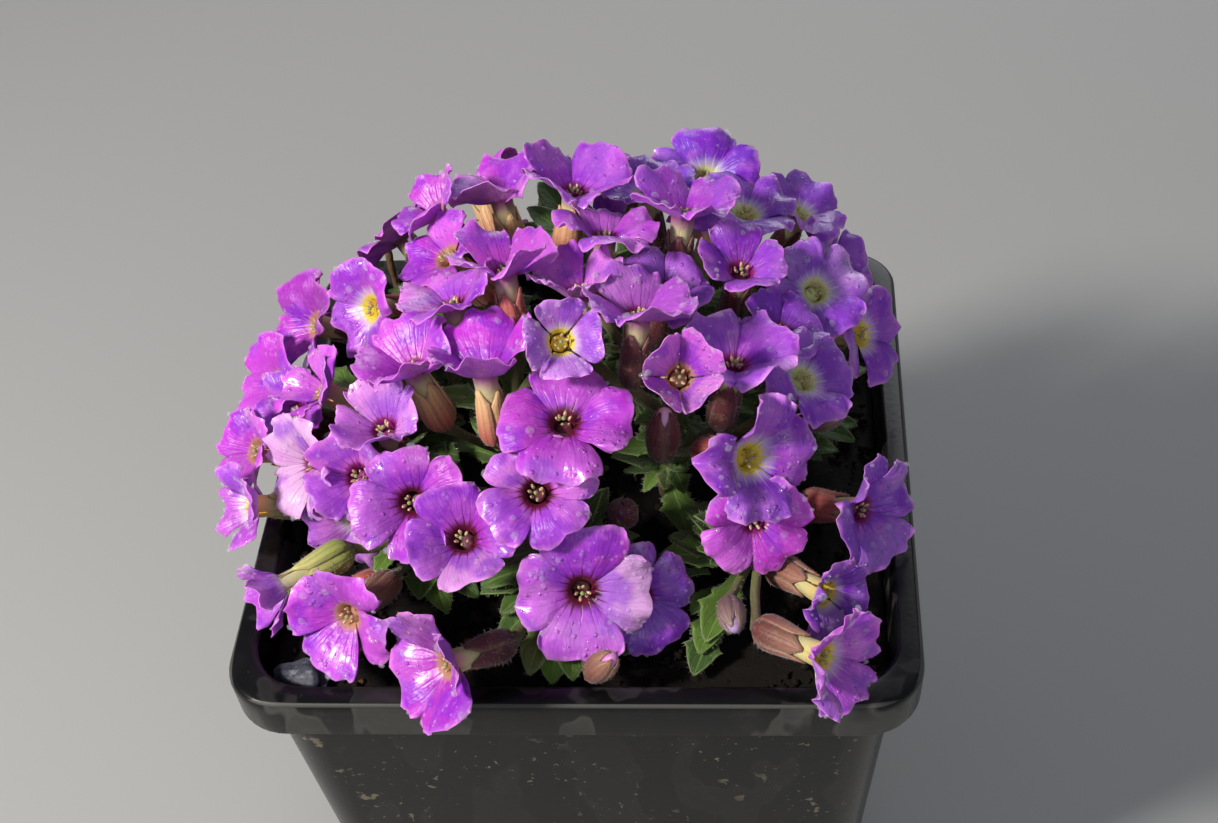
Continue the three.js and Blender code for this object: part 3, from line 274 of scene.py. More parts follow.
# Leaves low between the flowers: a pixel near the tip, height over the rim, and brightness. The brightness
# is partly each leaf's own green and partly painted light and shade: dark deep in the gaps, bright where lit
# at the front.
LOW_LEAVES = (
    ((550, 688), -1.2, 1.0), ((572, 680), -0.4, 0.8), ((528, 672), -0.2, 0.9), ((590, 670), -1.6, 0.3),
    ((700, 650), -0.4, 0.9), ((680, 622), 1.6, 0.8), ((722, 628), 0.6, 0.4), ((655, 556), 6.0, 0.4),
    ((668, 664), -1.5, 0.2), ((640, 672), -2.0, 0.2), ((694, 672), -1.8, 0.1), ((498, 640), -1.0, 0.3),
    ((672, 534), 6.5, 0.3), ((640, 575), 4.0, 0.3), ((606, 486), 10.0, 0.3), ((520, 570), 6.0, 0.3),
    ((540, 196), 24.0, 0.1), ((626, 246), 26.0, 0.1), ((636, 236), 22.0, 0.1), ((548, 206), 20.0, 0.1),
    ((530, 205), 27.0, 0.1), ((522, 222), 25.0, 0.1), ((536, 226), 23.0, 0.1), ((540, 180), 27.0, 0.1),
    ((470, 412), 16.0, 0.3), ((486, 430), 14.0, 0.2), ((636, 420), 16.0, 0.2), ((712, 560), 5.0, 0.3),
    ((480, 590), 2.5, 0.4), ((500, 610), 1.5, 0.3), ((612, 640), 1.0, 0.6), ((648, 660), 0.0, 0.5),
)
SEEN_LEAVES = (
    ((553, 684), -1.5), ((580, 668), 0.5), ((706, 634), 1.5), ((688, 600), 3), ((664, 548), 7),
    ((640, 560), 5), ((606, 478), 12), ((508, 556), 9), ((700, 434), 17), ((690, 505), 9),
    ((850, 432), 6), ((480, 580), 4),
)


def unit(vectors: Array) -> Array:
    """Vectors along the last axis, brought to length 1."""
    return vectors / np.maximum(np.linalg.norm(vectors, axis=-1, keepdims=True), 1e-12)


def add_object(name: str, data: bpy.types.ID) -> Object:
    """Add an object with its data to the scene."""
    piece = bpy.data.objects.new(name, data)
    bpy.context.scene.collection.objects.link(piece)
    return piece


def smooth(low: float, high: float, value: Array) -> Array:
    """A soft step from 0 at low to 1 at high."""
    share = np.clip((value - low) / (high - low), 0, 1)
    return share * share * (3 - 2 * share)


class SeededRandom:
    """Numbers between 0 and 1 that are the same on every run, and the same as the part's own."""

    def __init__(self, seed: int) -> None:
        """Start the sequence that belongs to a seed."""
        self.state = seed & 0xFFFFFFFF

    def __call__(self) -> float:
        """The next number."""
        keep = 0xFFFFFFFF
        self.state = (self.state + 0x6D2B79F5) & keep
        mixed = ((self.state ^ (self.state >> 15)) * (self.state | 1)) & keep
        mixed = ((mixed + (((mixed ^ (mixed >> 7)) * (mixed | 61)) & keep)) & keep) ^ mixed
        return (mixed ^ (mixed >> 14)) / 4294967296


@dataclass(frozen=True)
class Viewpoint:
    """The eye that sees the plant as the photograph does."""

    place: tuple[float, float, float] = (27, -190.5, 269.8)
    yaw: float = 7.08
    pitch: float = 43.41
    roll: float = -5.54
    lens: float = 1893

    def axes(self) -> tuple[Array, Array, Array]:
        """The eye's own directions: ahead, right and up."""
        yaw, pitch, roll = (angle * DEGREE for angle in (self.yaw, self.pitch, self.roll))
        flat = math.cos(pitch)
        ahead = np.array([-math.sin(yaw) * flat, math.cos(yaw) * flat, -math.sin(pitch)])
        level = np.array([math.cos(yaw), math.sin(yaw), 0.0])
        upright = np.cross(level, ahead)
        right = level * math.cos(roll) + upright * math.sin(roll)
        up = upright * math.cos(roll) - level * math.sin(roll)
        return ahead, right, up

    def point_seen(self, at: tuple[float, float], over: float) -> Array:
        """The point that the photograph shows at a pixel, at a height over the rim."""
        ahead, right, up = self.axes()
        line = ahead * self.lens + right * (at[0] - PHOTO_SIZE[0] / 2) + up * (PHOTO_SIZE[1] / 2 - at[1])
        eye = np.array(self.place)
        return eye + line * (POT_HEIGHT + over - eye[2]) / line[2]

    def direction_seen(self, face: tuple[float, float, float]) -> Array:
        """The direction given by parts to the right, up and towards the eye."""
        ahead, right, up = self.axes()
        return unit(right * face[0] + up * face[1] - ahead * face[2])

    def set_camera(self) -> None:
        """Make the scene's camera at this viewpoint."""
        ahead, right, up = self.axes()
        sensor = 36.0
        data = bpy.data.cameras.new("camera")
        data.sensor_width = sensor
        data.lens = self.lens * sensor / PHOTO_SIZE[0]
        data.clip_start = 0.01
        camera = add_object("camera", data)
        turned = Matrix([right, up, -ahead]).transposed().to_4x4()
        camera.matrix_world = Matrix.Translation(Vector(self.place) * MM) @ turned
        bpy.context.scene.camera = camera


EYE = Viewpoint()
EYE_UP = EYE.axes()[2]


@dataclass
class PetalTraits:
    """What differs from petal to petal."""

    lift: float
    tilt: float
    wave: float
    phase: float
    reach: float

    @classmethod
    def of_flower(cls, number: int) -> list["PetalTraits"]:
        """The four petals' traits of a flower."""
        random = SeededRandom(7919 * number + 11)
        traits = []
        for _ in range(4):
            draws = [random() for _ in range(5)]
            traits.append(cls(
                lift=0.36 * (draws[0] - 0.5),
                tilt=0.34 * (draws[1] - 0.5),
                wave=0.6 + 0.8 * draws[2],
                phase=2 * math.pi * draws[3],
                reach=0.93 + 0.12 * draws[4],
            ))
        return traits


PETAL_WIDEST = 0.66


def petal_half_width(s: Array) -> Array:
    """Half the width of a petal, as a share of the half span, at a share of the way to its tip."""
    claw = np.minimum(1, s / PETAL_WIDEST)
    tip = np.maximum(0, (s - PETAL_WIDEST) / (1 - PETAL_WIDEST))
    return (0.13 + 0.37 * claw * (2 - claw)) * np.sqrt(np.maximum(0, 1 - tip * tip))


class Body:
    """A flower or a bud with its place and turn: throat, axis, side and across."""

    def __init__(self, plan: Flower | FarFlower | Bud) -> None:
        """Stand the body where the plan has it."""
        self.plan = plan
        self.is_flower = not isinstance(plan, Bud)
        if isinstance(plan, FarFlower):
            flat = math.cos(plan.climb * DEGREE)
            axis = np.array([
                flat * math.cos(plan.compass * DEGREE),
                flat * math.sin(plan.compass * DEGREE),
                math.sin(plan.climb * DEGREE),
            ])
            throat = DOME_CENTRE + axis * DOME_RADIUS + [0, 0, 4]
            axis = unit(axis + [0, 0, 0.35])
        else:
            throat = EYE.point_seen(plan.at, plan.over)
            axis = EYE.direction_seen(plan.face)
        self.throat = throat
        self.axis = axis
        self.side = unit(EYE_UP - axis * (EYE_UP @ axis))
        self.across = np.cross(self.axis, self.side)
        self.petals = PetalTraits.of_flower(plan.number) if self.is_flower else []
        self.shoot = 0
        self.stalk = np.zeros((3, 3))

    def petal_point(self, index: int, s: Array, w: Array) -> Array:
        """Points of a petal's middle surface in the flower's own frame, whose axis is +Z.

        Args:
            index: Which petal.
            s: Shares of the way from throat to tip.
            w: Shares of the way from the middle to the side.

        Returns:
            The points, with the shape of s and three numbers each.
        """
        traits = self.petals[index]
        half_span = self.plan.span / 2 * traits.reach
        length = half_span - THROAT_RADIUS
        half = petal_half_width(s) * half_span
        return self.bent(index, s, w, half * w, length, half_span)

    def bent(self, index: int, s: Array, w: Array, aside: Array, length: float,
             half_span: float) -> Array:
        """A petal's flat points, (s, aside), bent as the petal is."""
        traits, cup = self.petals[index], self.plan.cup
        notch = 0.06 * half_span * np.maximum(0, (s - 0.7) / 0.3) * np.maximum(0, 1 - 2.5 * np.abs(w))
        out = THROAT_RADIUS + length * s * (1 - 0.3 * cup * s) - notch
        rise = cup * half_span * np.maximum(s, 0) ** 1.5 + traits.lift * length * s
        rise = rise - THROAT_DEPTH * (1 - s) ** 3
        sag = -0.09 * half_span * w * w * s + traits.tilt * aside
        wave = traits.wave * half_span * (0.05 * s * np.sin(2.6 * w + traits.phase)
                                          + 0.04 * s * s * np.cos(4.6 * w + 2 * traits.phase))
        angle = (self.plan.turn + 90 * index) * DEGREE
        return np.stack([
            out * math.cos(angle) - aside * math.sin(angle),
            out * math.sin(angle) + aside * math.cos(angle),
            rise + sag + wave,
        ], axis=-1)

    def placed(self, local: Array) -> Array:
        """Places in the flower's own frame, put into the plant's."""
        return self.throat + self.turned(local)

    def turned(self, local: Array) -> Array:
        """Directions in the flower's own frame, put into the plant's."""
        return local @ np.stack([self.side, self.across, self.axis])

    def clusters(self) -> list[tuple[float, Array]]:
        """Balls that stand for the body while it makes room: (radius, places) for each part."""
        if not self.is_flower:
            size = self.plan.size
            return [(2.3 * size, np.array([[0, 0, z * size] for z in (-1.5, -4, -6.5)]))]
        s, w = (grid.ravel() for grid in np.meshgrid((0.22, 0.46, 0.7, 0.93), (-0.85, -0.28, 0.28, 0.85),
                                                     indexing="ij"))
        petals = [(PETAL_ROOM, self.petal_point(index, s, w)) for index in range(4)]
        return petals + [(CALYX_RADIUS + 0.25, np.array([[0, 0, z] for z in (-2.5, -5, -7.5, -10)]))]

    def calyx_foot(self) -> Array:
        """Where the calyx ends and its stalk begins."""
        length = TUBE_LENGTH + 0.3 + CALYX_LENGTH if self.is_flower else 8 * self.plan.size
        return self.throat - self.axis * length


PETAL_ROOM = 0.9
STALK_ROOM = 1.05


class Crowd:
    """The flowers and buds while they open and make room for each other, and find their stalks."""

    steps = 120
    bunch_room = 0.6
    first_size, growth = 0.45, 0.75
    shoving, twisting, most_twist = 1.5, 0.03, 0.05
    pull_across, pull_along, pull_axis = 0.03, 0.004, 0.02
    rim_from, pot_ends = 40, 46
    crowding_cost = 6
    stalk_rounds, most_shove, stalk_pull = 40, 0.5, 0.04

    def __init__(self, bodies: list[Body]) -> None:
        """Gather the bodies' places and the balls that stand for them."""
        self.bodies = bodies
        self.throat = np.array([body.throat for body in bodies])
        self.axis = np.array([body.axis for body in bodies])
        self.side = np.array([body.side for body in bodies])
        self.home, self.home_axis = self.throat.copy(), self.axis.copy()
        numbers = [getattr(body.plan, "number", -1) for body in bodies]
        bunch = {n: i for i, members in reversed(list(enumerate(BUNCHES))) for n in members}
        self.bunch = np.array([bunch.get(n, 100 + i) for i, n in enumerate(numbers)])
        clusters = [(i, radius, local) for i, body in enumerate(bodies) for radius, local in body.clusters()]
        self.owner = np.array([owner for owner, _, _ in clusters])
        self.radius = np.array([radius for _, radius, _ in clusters])
        most = max(len(local) for _, _, local in clusters)
        self.local = np.zeros((len(clusters), most, 3))
        self.real = np.zeros((len(clusters), most), bool)
        for row, (_, _, local) in enumerate(clusters):
            self.local[row, :len(local)] = local
            self.real[row, :len(local)] = True

    def place_room(self, grown: float) -> None:
        """Put the balls where the bodies are, at a share of their full size."""
        across = np.cross(self.axis, self.side)
        turn = np.stack([self.side, across, self.axis], axis=1)[self.owner]
        points = self.throat[self.owner][:, None] + np.einsum("kpi,kij->kpj", self.local * grown, turn)
        count = self.real.sum(1)
        self.middle = np.where(self.real[..., None], points, 0).sum(1) / count[:, None]
        far = np.linalg.norm(points - self.middle[:, None], axis=-1)
        self.reach = self.radius + np.where(self.real, far, 0).max(1)
        rows, columns = np.nonzero(~self.real)
        points[rows, columns] = 1e6 + 1e4 * (rows + 1000 * columns)[:, None]
        self.points = points

    def contacts(self) -> tuple[Array, Array, Array]:
        """Where balls of different bodies meet: (body, place, push) for both sides of each meeting."""
        apart = np.linalg.norm(self.throat[:, None] - self.throat[None], axis=-1)
        first, second = np.triu_indices(len(self.owner), 1)
        one, other = self.owner[first], self.owner[second]
        near = (one != other) & (apart[one, other] < NEIGHBOUR_REACH)
        first, second = first[near], second[near]
        gap = np.linalg.norm(self.middle[first] - self.middle[second], axis=-1)
        near = gap <= self.reach[first] + self.reach[second]
        first, second = first[near], second[near]
        off = self.points[first][:, :, None] - self.points[second][:, None]
        far = np.linalg.norm(off, axis=-1)
        petals = (self.radius[first] == PETAL_ROOM) & (self.radius[second] == PETAL_ROOM)
        friends = self.bunch[self.owner[first]] == self.bunch[self.owner[second]]
        room = (self.radius[first] + self.radius[second]) * np.where(petals & friends, self.bunch_room, 1)
        pair, a, b = np.nonzero((far < room[:, None, None]) & (far > 1e-4))
        distance = far[pair, a, b]
        push = off[pair, a, b] * ((room[pair] - distance) / distance / 2)[:, None]
        body = np.concatenate([self.owner[first[pair]], self.owner[second[pair]]])
        place = np.concatenate([self.points[first[pair], a], self.points[second[pair], b]])
        return body, place, np.concatenate([push, -push])

    def floor_pushes(self) -> tuple[Array, Array, Array]:
        """Where balls meet the soil or the pot's rim: (body, place, push)."""
        rows, columns = np.nonzero(self.real)
        place = self.points[rows, columns]
        wide = np.abs(place[:, :2]).max(1)
        floor = np.where(wide > self.rim_from, POT_HEIGHT + 0.4, SOIL_LEVEL + 1.6)
        deep = floor + self.radius[rows] - place[:, 2]
        low = (deep > 0) & (wide < self.pot_ends)
        push = np.zeros((low.sum(), 3))
        push[:, 2] = deep[low]
        return self.owner[rows[low]], place[low], push

    def make_room(self) -> None:
        """Open the flowers from small to full size. Those that meet slip apart along the line of sight more
        easily than across it, and turn a little, so that the view keeps its picture."""
        sight = unit(self.home - np.array(EYE.place))
        for step in range(self.steps):
            self.place_room(min(1, self.first_size + self.growth * step / self.steps))
            body, place, push = (np.concatenate(part) for part in zip(self.contacts(), self.floor_pushes()))
            shove, twist = np.zeros_like(self.throat), np.zeros_like(self.throat)
            np.add.at(shove, body, push)
            np.add.at(twist, body, np.cross(place - self.throat[body], push))
            hits = np.bincount(body, minlength=len(self.throat))[:, None]
            self.throat = self.throat + shove * self.shoving / (hits + 2)
            twist *= self.twisting / (hits + 2)
            angle = np.minimum(np.linalg.norm(twist, axis=1, keepdims=True), self.most_twist)
            pole = unit(twist)
            for name in ("axis", "side"):
                line = getattr(self, name)
                along = pole * (pole * line).sum(1, keepdims=True)
                turned = line * np.cos(angle) + np.cross(pole, line) * np.sin(angle)
                setattr(self, name, turned + along * (1 - np.cos(angle)))
            off = self.home - self.throat
            deep = sight * (off * sight).sum(1, keepdims=True)
            self.throat += (off - deep) * self.pull_across + deep * self.pull_along
            self.axis = unit(self.axis + self.home_axis * self.pull_axis)
            self.side = unit(self.side - self.axis * (self.side * self.axis).sum(1, keepdims=True))
        self.place_room(1)
        for i, body in enumerate(self.bodies):
            body.throat, body.axis, body.side = self.throat[i], self.axis[i], self.side[i]
            body.across = np.cross(body.axis, body.side)
        rows, columns = np.nonzero(self.real)
        self.balls = self.points[rows, columns]
        self.ball_radius = self.radius[rows]
        self.ball_owner = self.owner[rows]

    def balls_near(self, point: Array, skip: int) -> tuple[Array, Array, Array]:
        """Balls of the bodies near a point, but for one body: places, radii and which bodies are near."""
        near = np.linalg.norm(self.throat - point, axis=1) <= NEIGHBOUR_REACH
        near[skip] = False
        mine = near[self.ball_owner]
        return self.balls[mine], self.ball_radius[mine], near

    def crowding(self, index: int, curve: Array) -> float:
        """How much a stalk along a curve would run into other flowers."""
        total = 0.0
        for point in curve:
            balls, radius, _ = self.balls_near(point, index)
            total += np.maximum(0, radius + STALK_ROOM - np.linalg.norm(balls - point, axis=1)).sum()
        return total

    def hang(self, shoots: list["Shoot"]) -> None:
        """Hang each body on the shoot that its stalk reaches by the least crowded way."""
        stops = np.array([0.2, 0.4, 0.6, 0.8])[:, None]
        inward = []
        for i, body in enumerate(self.bodies):
            foot = body.calyx_foot()
            bend = foot - body.axis * 3 - np.array([0, 0, 3])
            costs = []
            for shoot in shoots:
                hold = shoot.nearest(bend)
                curve = (1 - stops) ** 2 * foot + 2 * stops * (1 - stops) * bend + stops ** 2 * hold
                costs.append(np.linalg.norm(hold - bend) + self.crowding_cost * self.crowding(i, curve))
            body.shoot = int(np.argmin(costs))
            inward.append(bend)
        for number, shoot in enumerate(shoots):
            hung = [i for i, body in enumerate(self.bodies) if body.shoot == number]
            hung.sort(key=lambda i: inward[i][2])
            for order, i in enumerate(hung):
                foot = self.bodies[i].calyx_foot()
                share = 0.1 + 0.88 * (order + 1) / len(hung)
                hold = shoot.knee + (shoot.crown - shoot.knee) * share
                middle = 0.25 * foot + 0.5 * inward[i] + 0.25 * hold
                self.bodies[i].stalk = np.array([foot, middle, hold])

    def clear_stalks(self) -> None:
        """Move each stalk's bend clear of the flowers and of the stalks of other shoots."""
        shares = np.array([0.35, 0.7, 1.0])[:, None]
        weights = np.concatenate([shares, shares])
        for _ in range(self.stalk_rounds):
            for i, body in enumerate(self.bodies):
                foot, bend, hold = body.stalk
                balls, radius, near = self.balls_near(bend, i)
                points = np.concatenate([foot + (bend - foot) * shares, hold + (bend - hold) * shares])
                off = points[:, None] - balls[None]
                far = np.linalg.norm(off, axis=-1)
                short = np.maximum(0, radius + STALK_ROOM - far)
                shove = (off / np.maximum(far, 1e-12)[..., None] * (short * weights)[..., None]).sum((0, 1))
                for j in np.nonzero(near)[0]:
                    other = self.bodies[j]
                    if other.shoot != body.shoot:
                        off = bend - other.stalk[1]
                        far = np.linalg.norm(off)
                        shove = shove + off / max(far, 1e-12) * max(0, 2.2 * STALK_ROOM - far) * 0.5
                length = np.linalg.norm(shove)
                shove = shove * min(1, self.most_shove / max(length, 1e-12))
                bend = bend + shove
                body.stalk[1] = bend + ((foot + hold) / 2 - bend) * self.stalk_pull


class Shoot:
    """A shoot: a stem from the soil to its crown, with the leaves that stand on it."""

    def __init__(self, root: tuple[float, float], crown: tuple[float, float, float]) -> None:
        """Stand the stem on its root."""
        self.foot = np.array([*root, SOIL_LEVEL - HOLE_DEPTH + 1])
        self.knee = np.array([*root, SOIL_LEVEL + 3.0])
        self.crown = np.array(crown, float)
        self.points = np.array([self.foot, self.knee, (self.knee + self.crown) / 2, self.crown])
        self.leaves: list[Leaf] = []

    def nearest(self, point: Array) -> Array:
        """The stem's nearest place to a point, over the knee."""
        line = self.crown - self.knee
        return self.knee + line * np.clip((point - self.knee) @ line / (line @ line), 0, 1)

    def at(self, share: float) -> Array:
        """The place at a share of the way from knee to crown."""
        return self.knee + (self.crown - self.knee) * share


class Leaf:
    """A leaf from its base to its tip: its own directions, length, width and arch."""

    def __init__(self, base: Array, tip: Array, width: float, arch: float) -> None:
        """Lay the leaf from base to tip."""
        self.base = base
        self.length = float(np.linalg.norm(tip - base))
        self.along = (tip - base) / self.length
        self.aside = unit(np.cross([0, 0, 1], self.along))
        self.normal = np.cross(self.along, self.aside)
        self.width = width
        self.arch = arch
        self.bright: float | None = None

    def point(self, s: Array, w: Array) -> Array:
        """Points of the leaf's middle surface at shares along it and across it."""
        return self.laid(s, w, 0.35 * np.sqrt(w * w + 0.0016) * self.width)

    def laid(self, s: Array, w: Array, fold: Array) -> Array:
        """Points at shares along the leaf and across it, each folded up so far."""
        arch = self.arch * self.length * s * s
        return (self.base + self.along * (s * self.length)[..., None]
                + self.aside * (w * self.width)[..., None] + self.normal * (fold - arch)[..., None])

    def room(self) -> tuple[Array, Array]:
        """Balls that stand for the leaf, and which of them are on its outer part."""
        spots = [(s, w) for s in (0.3, 0.5, 0.72, 0.95) for w in ((0,) if s > 0.9 else (-0.4, 0, 0.4))]
        s, w = np.array(spots).T
        return self.laid(s, w, 0.35 * np.abs(w) * self.width), s > 0.6


# A leaf: the room it needs, its half width at stops along it, and how far off its middle petals are sought
LEAF_ROOM = 0.75
LEAF_STOPS = np.array([0, 0.12, 0.25, 0.34, 0.40, 0.46, 0.50, 0.58, 0.655, 0.69, 0.78, 0.88, 0.95, 1])
LEAF_WIDTHS = np.array([0.09, 0.12, 0.17, 0.22, 0.28, 0.37, 0.31, 0.38, 0.5, 0.40, 0.34, 0.24, 0.13, 0.02])
LEAF_SKINS = (-0.65, -0.45, -0.2, 0.0, 0.2, 0.45, 0.65)


def leaf_tip(base: Array, reach: float, climb: float, angle: float) -> Array:
    """Where a leaf ends that leaves its base at a climb and at an angle round the shoot."""
    flat = math.cos(climb)
    return base + reach * np.array([flat * math.cos(angle), flat * math.sin(angle), math.sin(climb)])


def along_line(points: Array) -> Array:
    """Places at thirds of each stretch of a line."""
    shares = np.array([0, 0.33, 0.67, 1])[:, None]
    return np.concatenate([a + (b - a) * shares for a, b in zip(points[:-1], points[1:])])


def touching(a: Array, b: Array, room: Array | float) -> bool:
    """Whether any two places of two sets are nearer than the room they need."""
    if not len(a) or not len(b):
        return False
    return bool((np.linalg.norm(a[:, None] - b[None], axis=-1) < room).any())


def grid_faces(rows: int, columns: int) -> Array:
    """The four-sided faces of a grid of points."""
    index = np.arange(rows * columns).reshape(rows, columns)
    return np.stack([index[:-1, :-1], index[1:, :-1], index[1:, 1:], index[:-1, 1:]], -1).reshape(-1, 4)


def tube_faces(count: int, sides: int) -> tuple[Array, Array]:
    """The wall of a tube of rings, and its caps about two more points, at its foot and its head."""
    index = np.arange(count * sides).reshape(count, sides)
    beside = np.roll(index, -1, axis=1)
    wall = np.stack([index[:-1], beside[:-1], beside[1:], index[1:]], -1).reshape(-1, 4)
    foot, head = count * sides, count * sides + 1
    caps = [[foot, b, a] for a, b in zip(index[0], beside[0])]
    caps += [[head, a, b] for a, b in zip(index[-1], beside[-1])]
    return wall, np.array(caps)


def grid_normal(grid: Array) -> Array:
    """The way that a grid of places faces at each of them."""
    return unit(np.cross(np.gradient(grid, axis=0), np.gradient(grid, axis=1)))


def grid_tree(grids: Sequence[Array]) -> BVHTree:
    """A search tree of the faces of some grids of places."""
    points, faces, count = [], [], 0
    for grid in grids:
        faces.append(grid_faces(*grid.shape[:2]) + count)
        points.append(grid.reshape(-1, 3))
        count += len(points[-1])
    return BVHTree.FromPolygons(np.concatenate(points).tolist(), np.concatenate(faces).tolist())


@dataclass(frozen=True)
class LeafRule:
    """How small leaves grow on each shoot: how many are tried and kept, how much nearer than the part's own
    leaves they may come, the start and span of their place, climb in degrees, length and arch, and whether
    the shoots of the near side grow them too."""

    seed: int
    tries: int
    most: int
    spare: float
    turn: float
    place: tuple[float, float]
    climb: tuple[float, float]
    reach: tuple[float, float]
    width: float
    arch: tuple[float, float]
    front: bool = True


LOW_SPARE = 1.15
LOW_REACH = 10.5
LOW_SKIRT = LeafRule(
    seed=1301, tries=90, most=16, spare=LOW_SPARE, turn=0.0, place=(0.0, 0.25), climb=(-4, 34),
    reach=(7.5, 4.0), width=0.48, arch=(0.06, 0.14), front=False,
)
FINE_LEAVES = LeafRule(
    seed=901, tries=80, most=20, spare=0.75, turn=0.5, place=(0.02, 0.93), climb=(-5, 60),
    reach=(5.5, 6.5), width=0.46, arch=(0.05, 0.2),
)
LEAF_NEIGHBOUR = 32
SHORTER = 0.92
SHORTEST = 0.35


class Foliage:
    """Grows the leaves of all shoots, by rules that give them room among flowers, stalks and shoots."""

    def __init__(self, crowd: Crowd, shoots: list[Shoot]) -> None:
        """Take the crowd of flowers that the leaves grow among."""
        self.crowd = crowd
        self.shoots = shoots
        self.taken: list[list[Array]] = [[] for _ in shoots]
        self.stalks = [along_line(body.stalk) for body in crowd.bodies]

    def fits(self, number: int, leaf: Leaf, spare: float = 0.0) -> bool:
        """Whether a leaf of a shoot has the room it needs. Near its own shoot's parts only its outer part
        counts. With some spare, a leaf may come nearer than its balls and those of a flower would touch.

        Args:
            number: Which shoot the leaf stands on.
            leaf: The leaf.
            spare: How much nearer than the part's own leaves it may come.

        Returns:
            True if it fits.
        """
        points, outer = leaf.room()
        too_low = (points[:, 2] < SOIL_LEVEL + 1.8 - spare).any()
        if too_low or (np.abs(points[:, :2]) > SOIL_HALF + 1.6 * spare).any():
            return False
        crowd = self.crowd
        for i, body in enumerate(crowd.bodies):
            if np.linalg.norm(body.throat - leaf.base) >= LEAF_NEIGHBOUR:
                continue
            mine = points[outer] if body.shoot == number else points
            balls = crowd.ball_owner == i
            if touching(mine, crowd.balls[balls], LEAF_ROOM + crowd.ball_radius[balls] - spare):
                return False
            if touching(mine, self.stalks[i], LEAF_ROOM + STALK_RADIUS + 0.3 - spare):
                return False
        for other, shoot in enumerate(self.shoots):
            mine = points[outer] if other == number else points
            if any(touching(mine, room, 2 * LEAF_ROOM - spare) for room in self.taken[other]):
                return False
            stem = along_line(shoot.points)
            if other != number and touching(points, stem, LEAF_ROOM + SHOOT_RADIUS + 0.4):
                return False
        return True

    def keep(self, number: int, leaf: Leaf) -> None:
        """Keep a leaf on a shoot."""
        self.shoots[number].leaves.append(leaf)
        self.taken[number].append(leaf.room()[0])

    def grow(self) -> None:
        """Grow the leaves that the part has: those that the photograph shows, then by the golden angle."""
        wanted = []
        for at, over in SEEN_LEAVES:
            tip = EYE.point_seen(at, over)
            number = int(np.argmin([np.linalg.norm(shoot.nearest(tip) - tip) for shoot in self.shoots]))
            base = self.shoots[number].nearest(tip - [0, 0, 2])
            reach = tip - base
            length = np.linalg.norm(reach)
            reach = reach * np.clip(length, 8, 14) / length
            wanted.append((number, Leaf(base, base + reach, 6, 0.12)))
        for number, shoot in enumerate(self.shoots):
            random = SeededRandom(501 + number)
            tries = 4 * LEAVES_ON_SHOOT
            for i in range(tries):
                base = shoot.at(0.95 * i / tries)
                angle = i * GOLDEN_TURN + number
                climb = (10 + 45 * random()) * DEGREE
                reach = 9 + 3.5 * random()
                tip = leaf_tip(base, reach, climb, angle)
                wanted.append((number, Leaf(base, tip, 5 + 1.2 * random(), 0.05 + 0.15 * random())))
        for number, leaf in wanted:
            if len(self.taken[number]) < LEAVES_ON_SHOOT and self.fits(number, leaf):
                self.keep(number, leaf)

    def fill_low(self) -> None:
        """Grow the leaves that fill the gaps seen low between the flowers."""
        for at, over, bright in LOW_LEAVES:
            tip = EYE.point_seen(at, over)
            tip[:2] = np.clip(tip[:2], -1.6 - SOIL_HALF, SOIL_HALF + 1.6)
            order = np.argsort([np.linalg.norm(shoot.nearest(tip) - tip) for shoot in self.shoots])
            for number in order[:3]:
                base = self.shoots[number].nearest(tip - [0, 0, 3])
                length = np.linalg.norm(tip - base)
                foot = tip + (base - tip) * min(1, LOW_REACH / length)
                leaf = Leaf(foot, tip, 0.5 * min(length, LOW_REACH), 0.08)
                leaf.bright = bright
                if self.fits(number, leaf, spare=LOW_SPARE):
                    self.keep(number, leaf)
                    break
            else:
                LOG.info("no room for the leaf at %s", at)

    def clear_petals(self) -> None:
        """Shorten each leaf that would cross a petal, step by step, until none is found to cross it or it is
        at its shortest. The first rows of a petal don't count."""
        petals = grid_tree([body.placed(Corolla(body).petal_grid(index)[0][3:])
                            for body in self.crowd.bodies if body.is_flower for index in range(4)])
        s, v = np.meshgrid(LEAF_STOPS, np.linspace(-1, 1, 7), indexing="ij")
        for number, shoot in enumerate(self.shoots):
            for order, leaf in enumerate(shoot.leaves):
                size = 1.0
                while size > SHORTEST:
                    blade = leaf.point(s, v * LEAF_WIDTHS[:, None])
                    if not petals.overlap(grid_tree([blade + leaf.normal * off for off in LEAF_SKINS])):
                        break
                    size *= SHORTER
                    leaf.length *= SHORTER
                    leaf.width *= SHORTER
                if size < 1:
                    LOG.info("leaf %d of shoot %d shortened to %.2f", order, number + 1, size)

    def fill(self, rule: LeafRule) -> None:
        """Grow small leaves in the gaps that are left, by a rule."""
        for number, shoot in enumerate(self.shoots):
            random = SeededRandom(rule.seed + number)
            grown = 0
            for i in range(rule.tries if rule.front or shoot.foot[1] > 0 else 0):
                base = shoot.at(rule.place[0] + rule.place[1] * random())
                angle = i * GOLDEN_TURN + rule.turn * number
                climb = (rule.climb[0] + rule.climb[1] * random()) * DEGREE
                reach = rule.reach[0] + rule.reach[1] * random()
                tip = leaf_tip(base, reach, climb, angle)
                leaf = Leaf(base, tip, rule.width * reach, rule.arch[0] + rule.arch[1] * random())
                if grown < rule.most and self.fits(number, leaf, spare=rule.spare):
                    self.keep(number, leaf)
                    grown += 1


Colour = tuple[float, float, float]


def operator(kind: str, flipped: bool = False) -> Callable[["Wire", "Wire | float"], "Wire"]:
    """An arithmetic method of Wire, or its reflected form, that adds a Math node."""

    def method(self: "Wire", other: "Wire | float") -> "Wire":
        """The two values, put together."""
        return self.painter.maths(kind, *((other, self) if flipped else (self, other)))

    return method


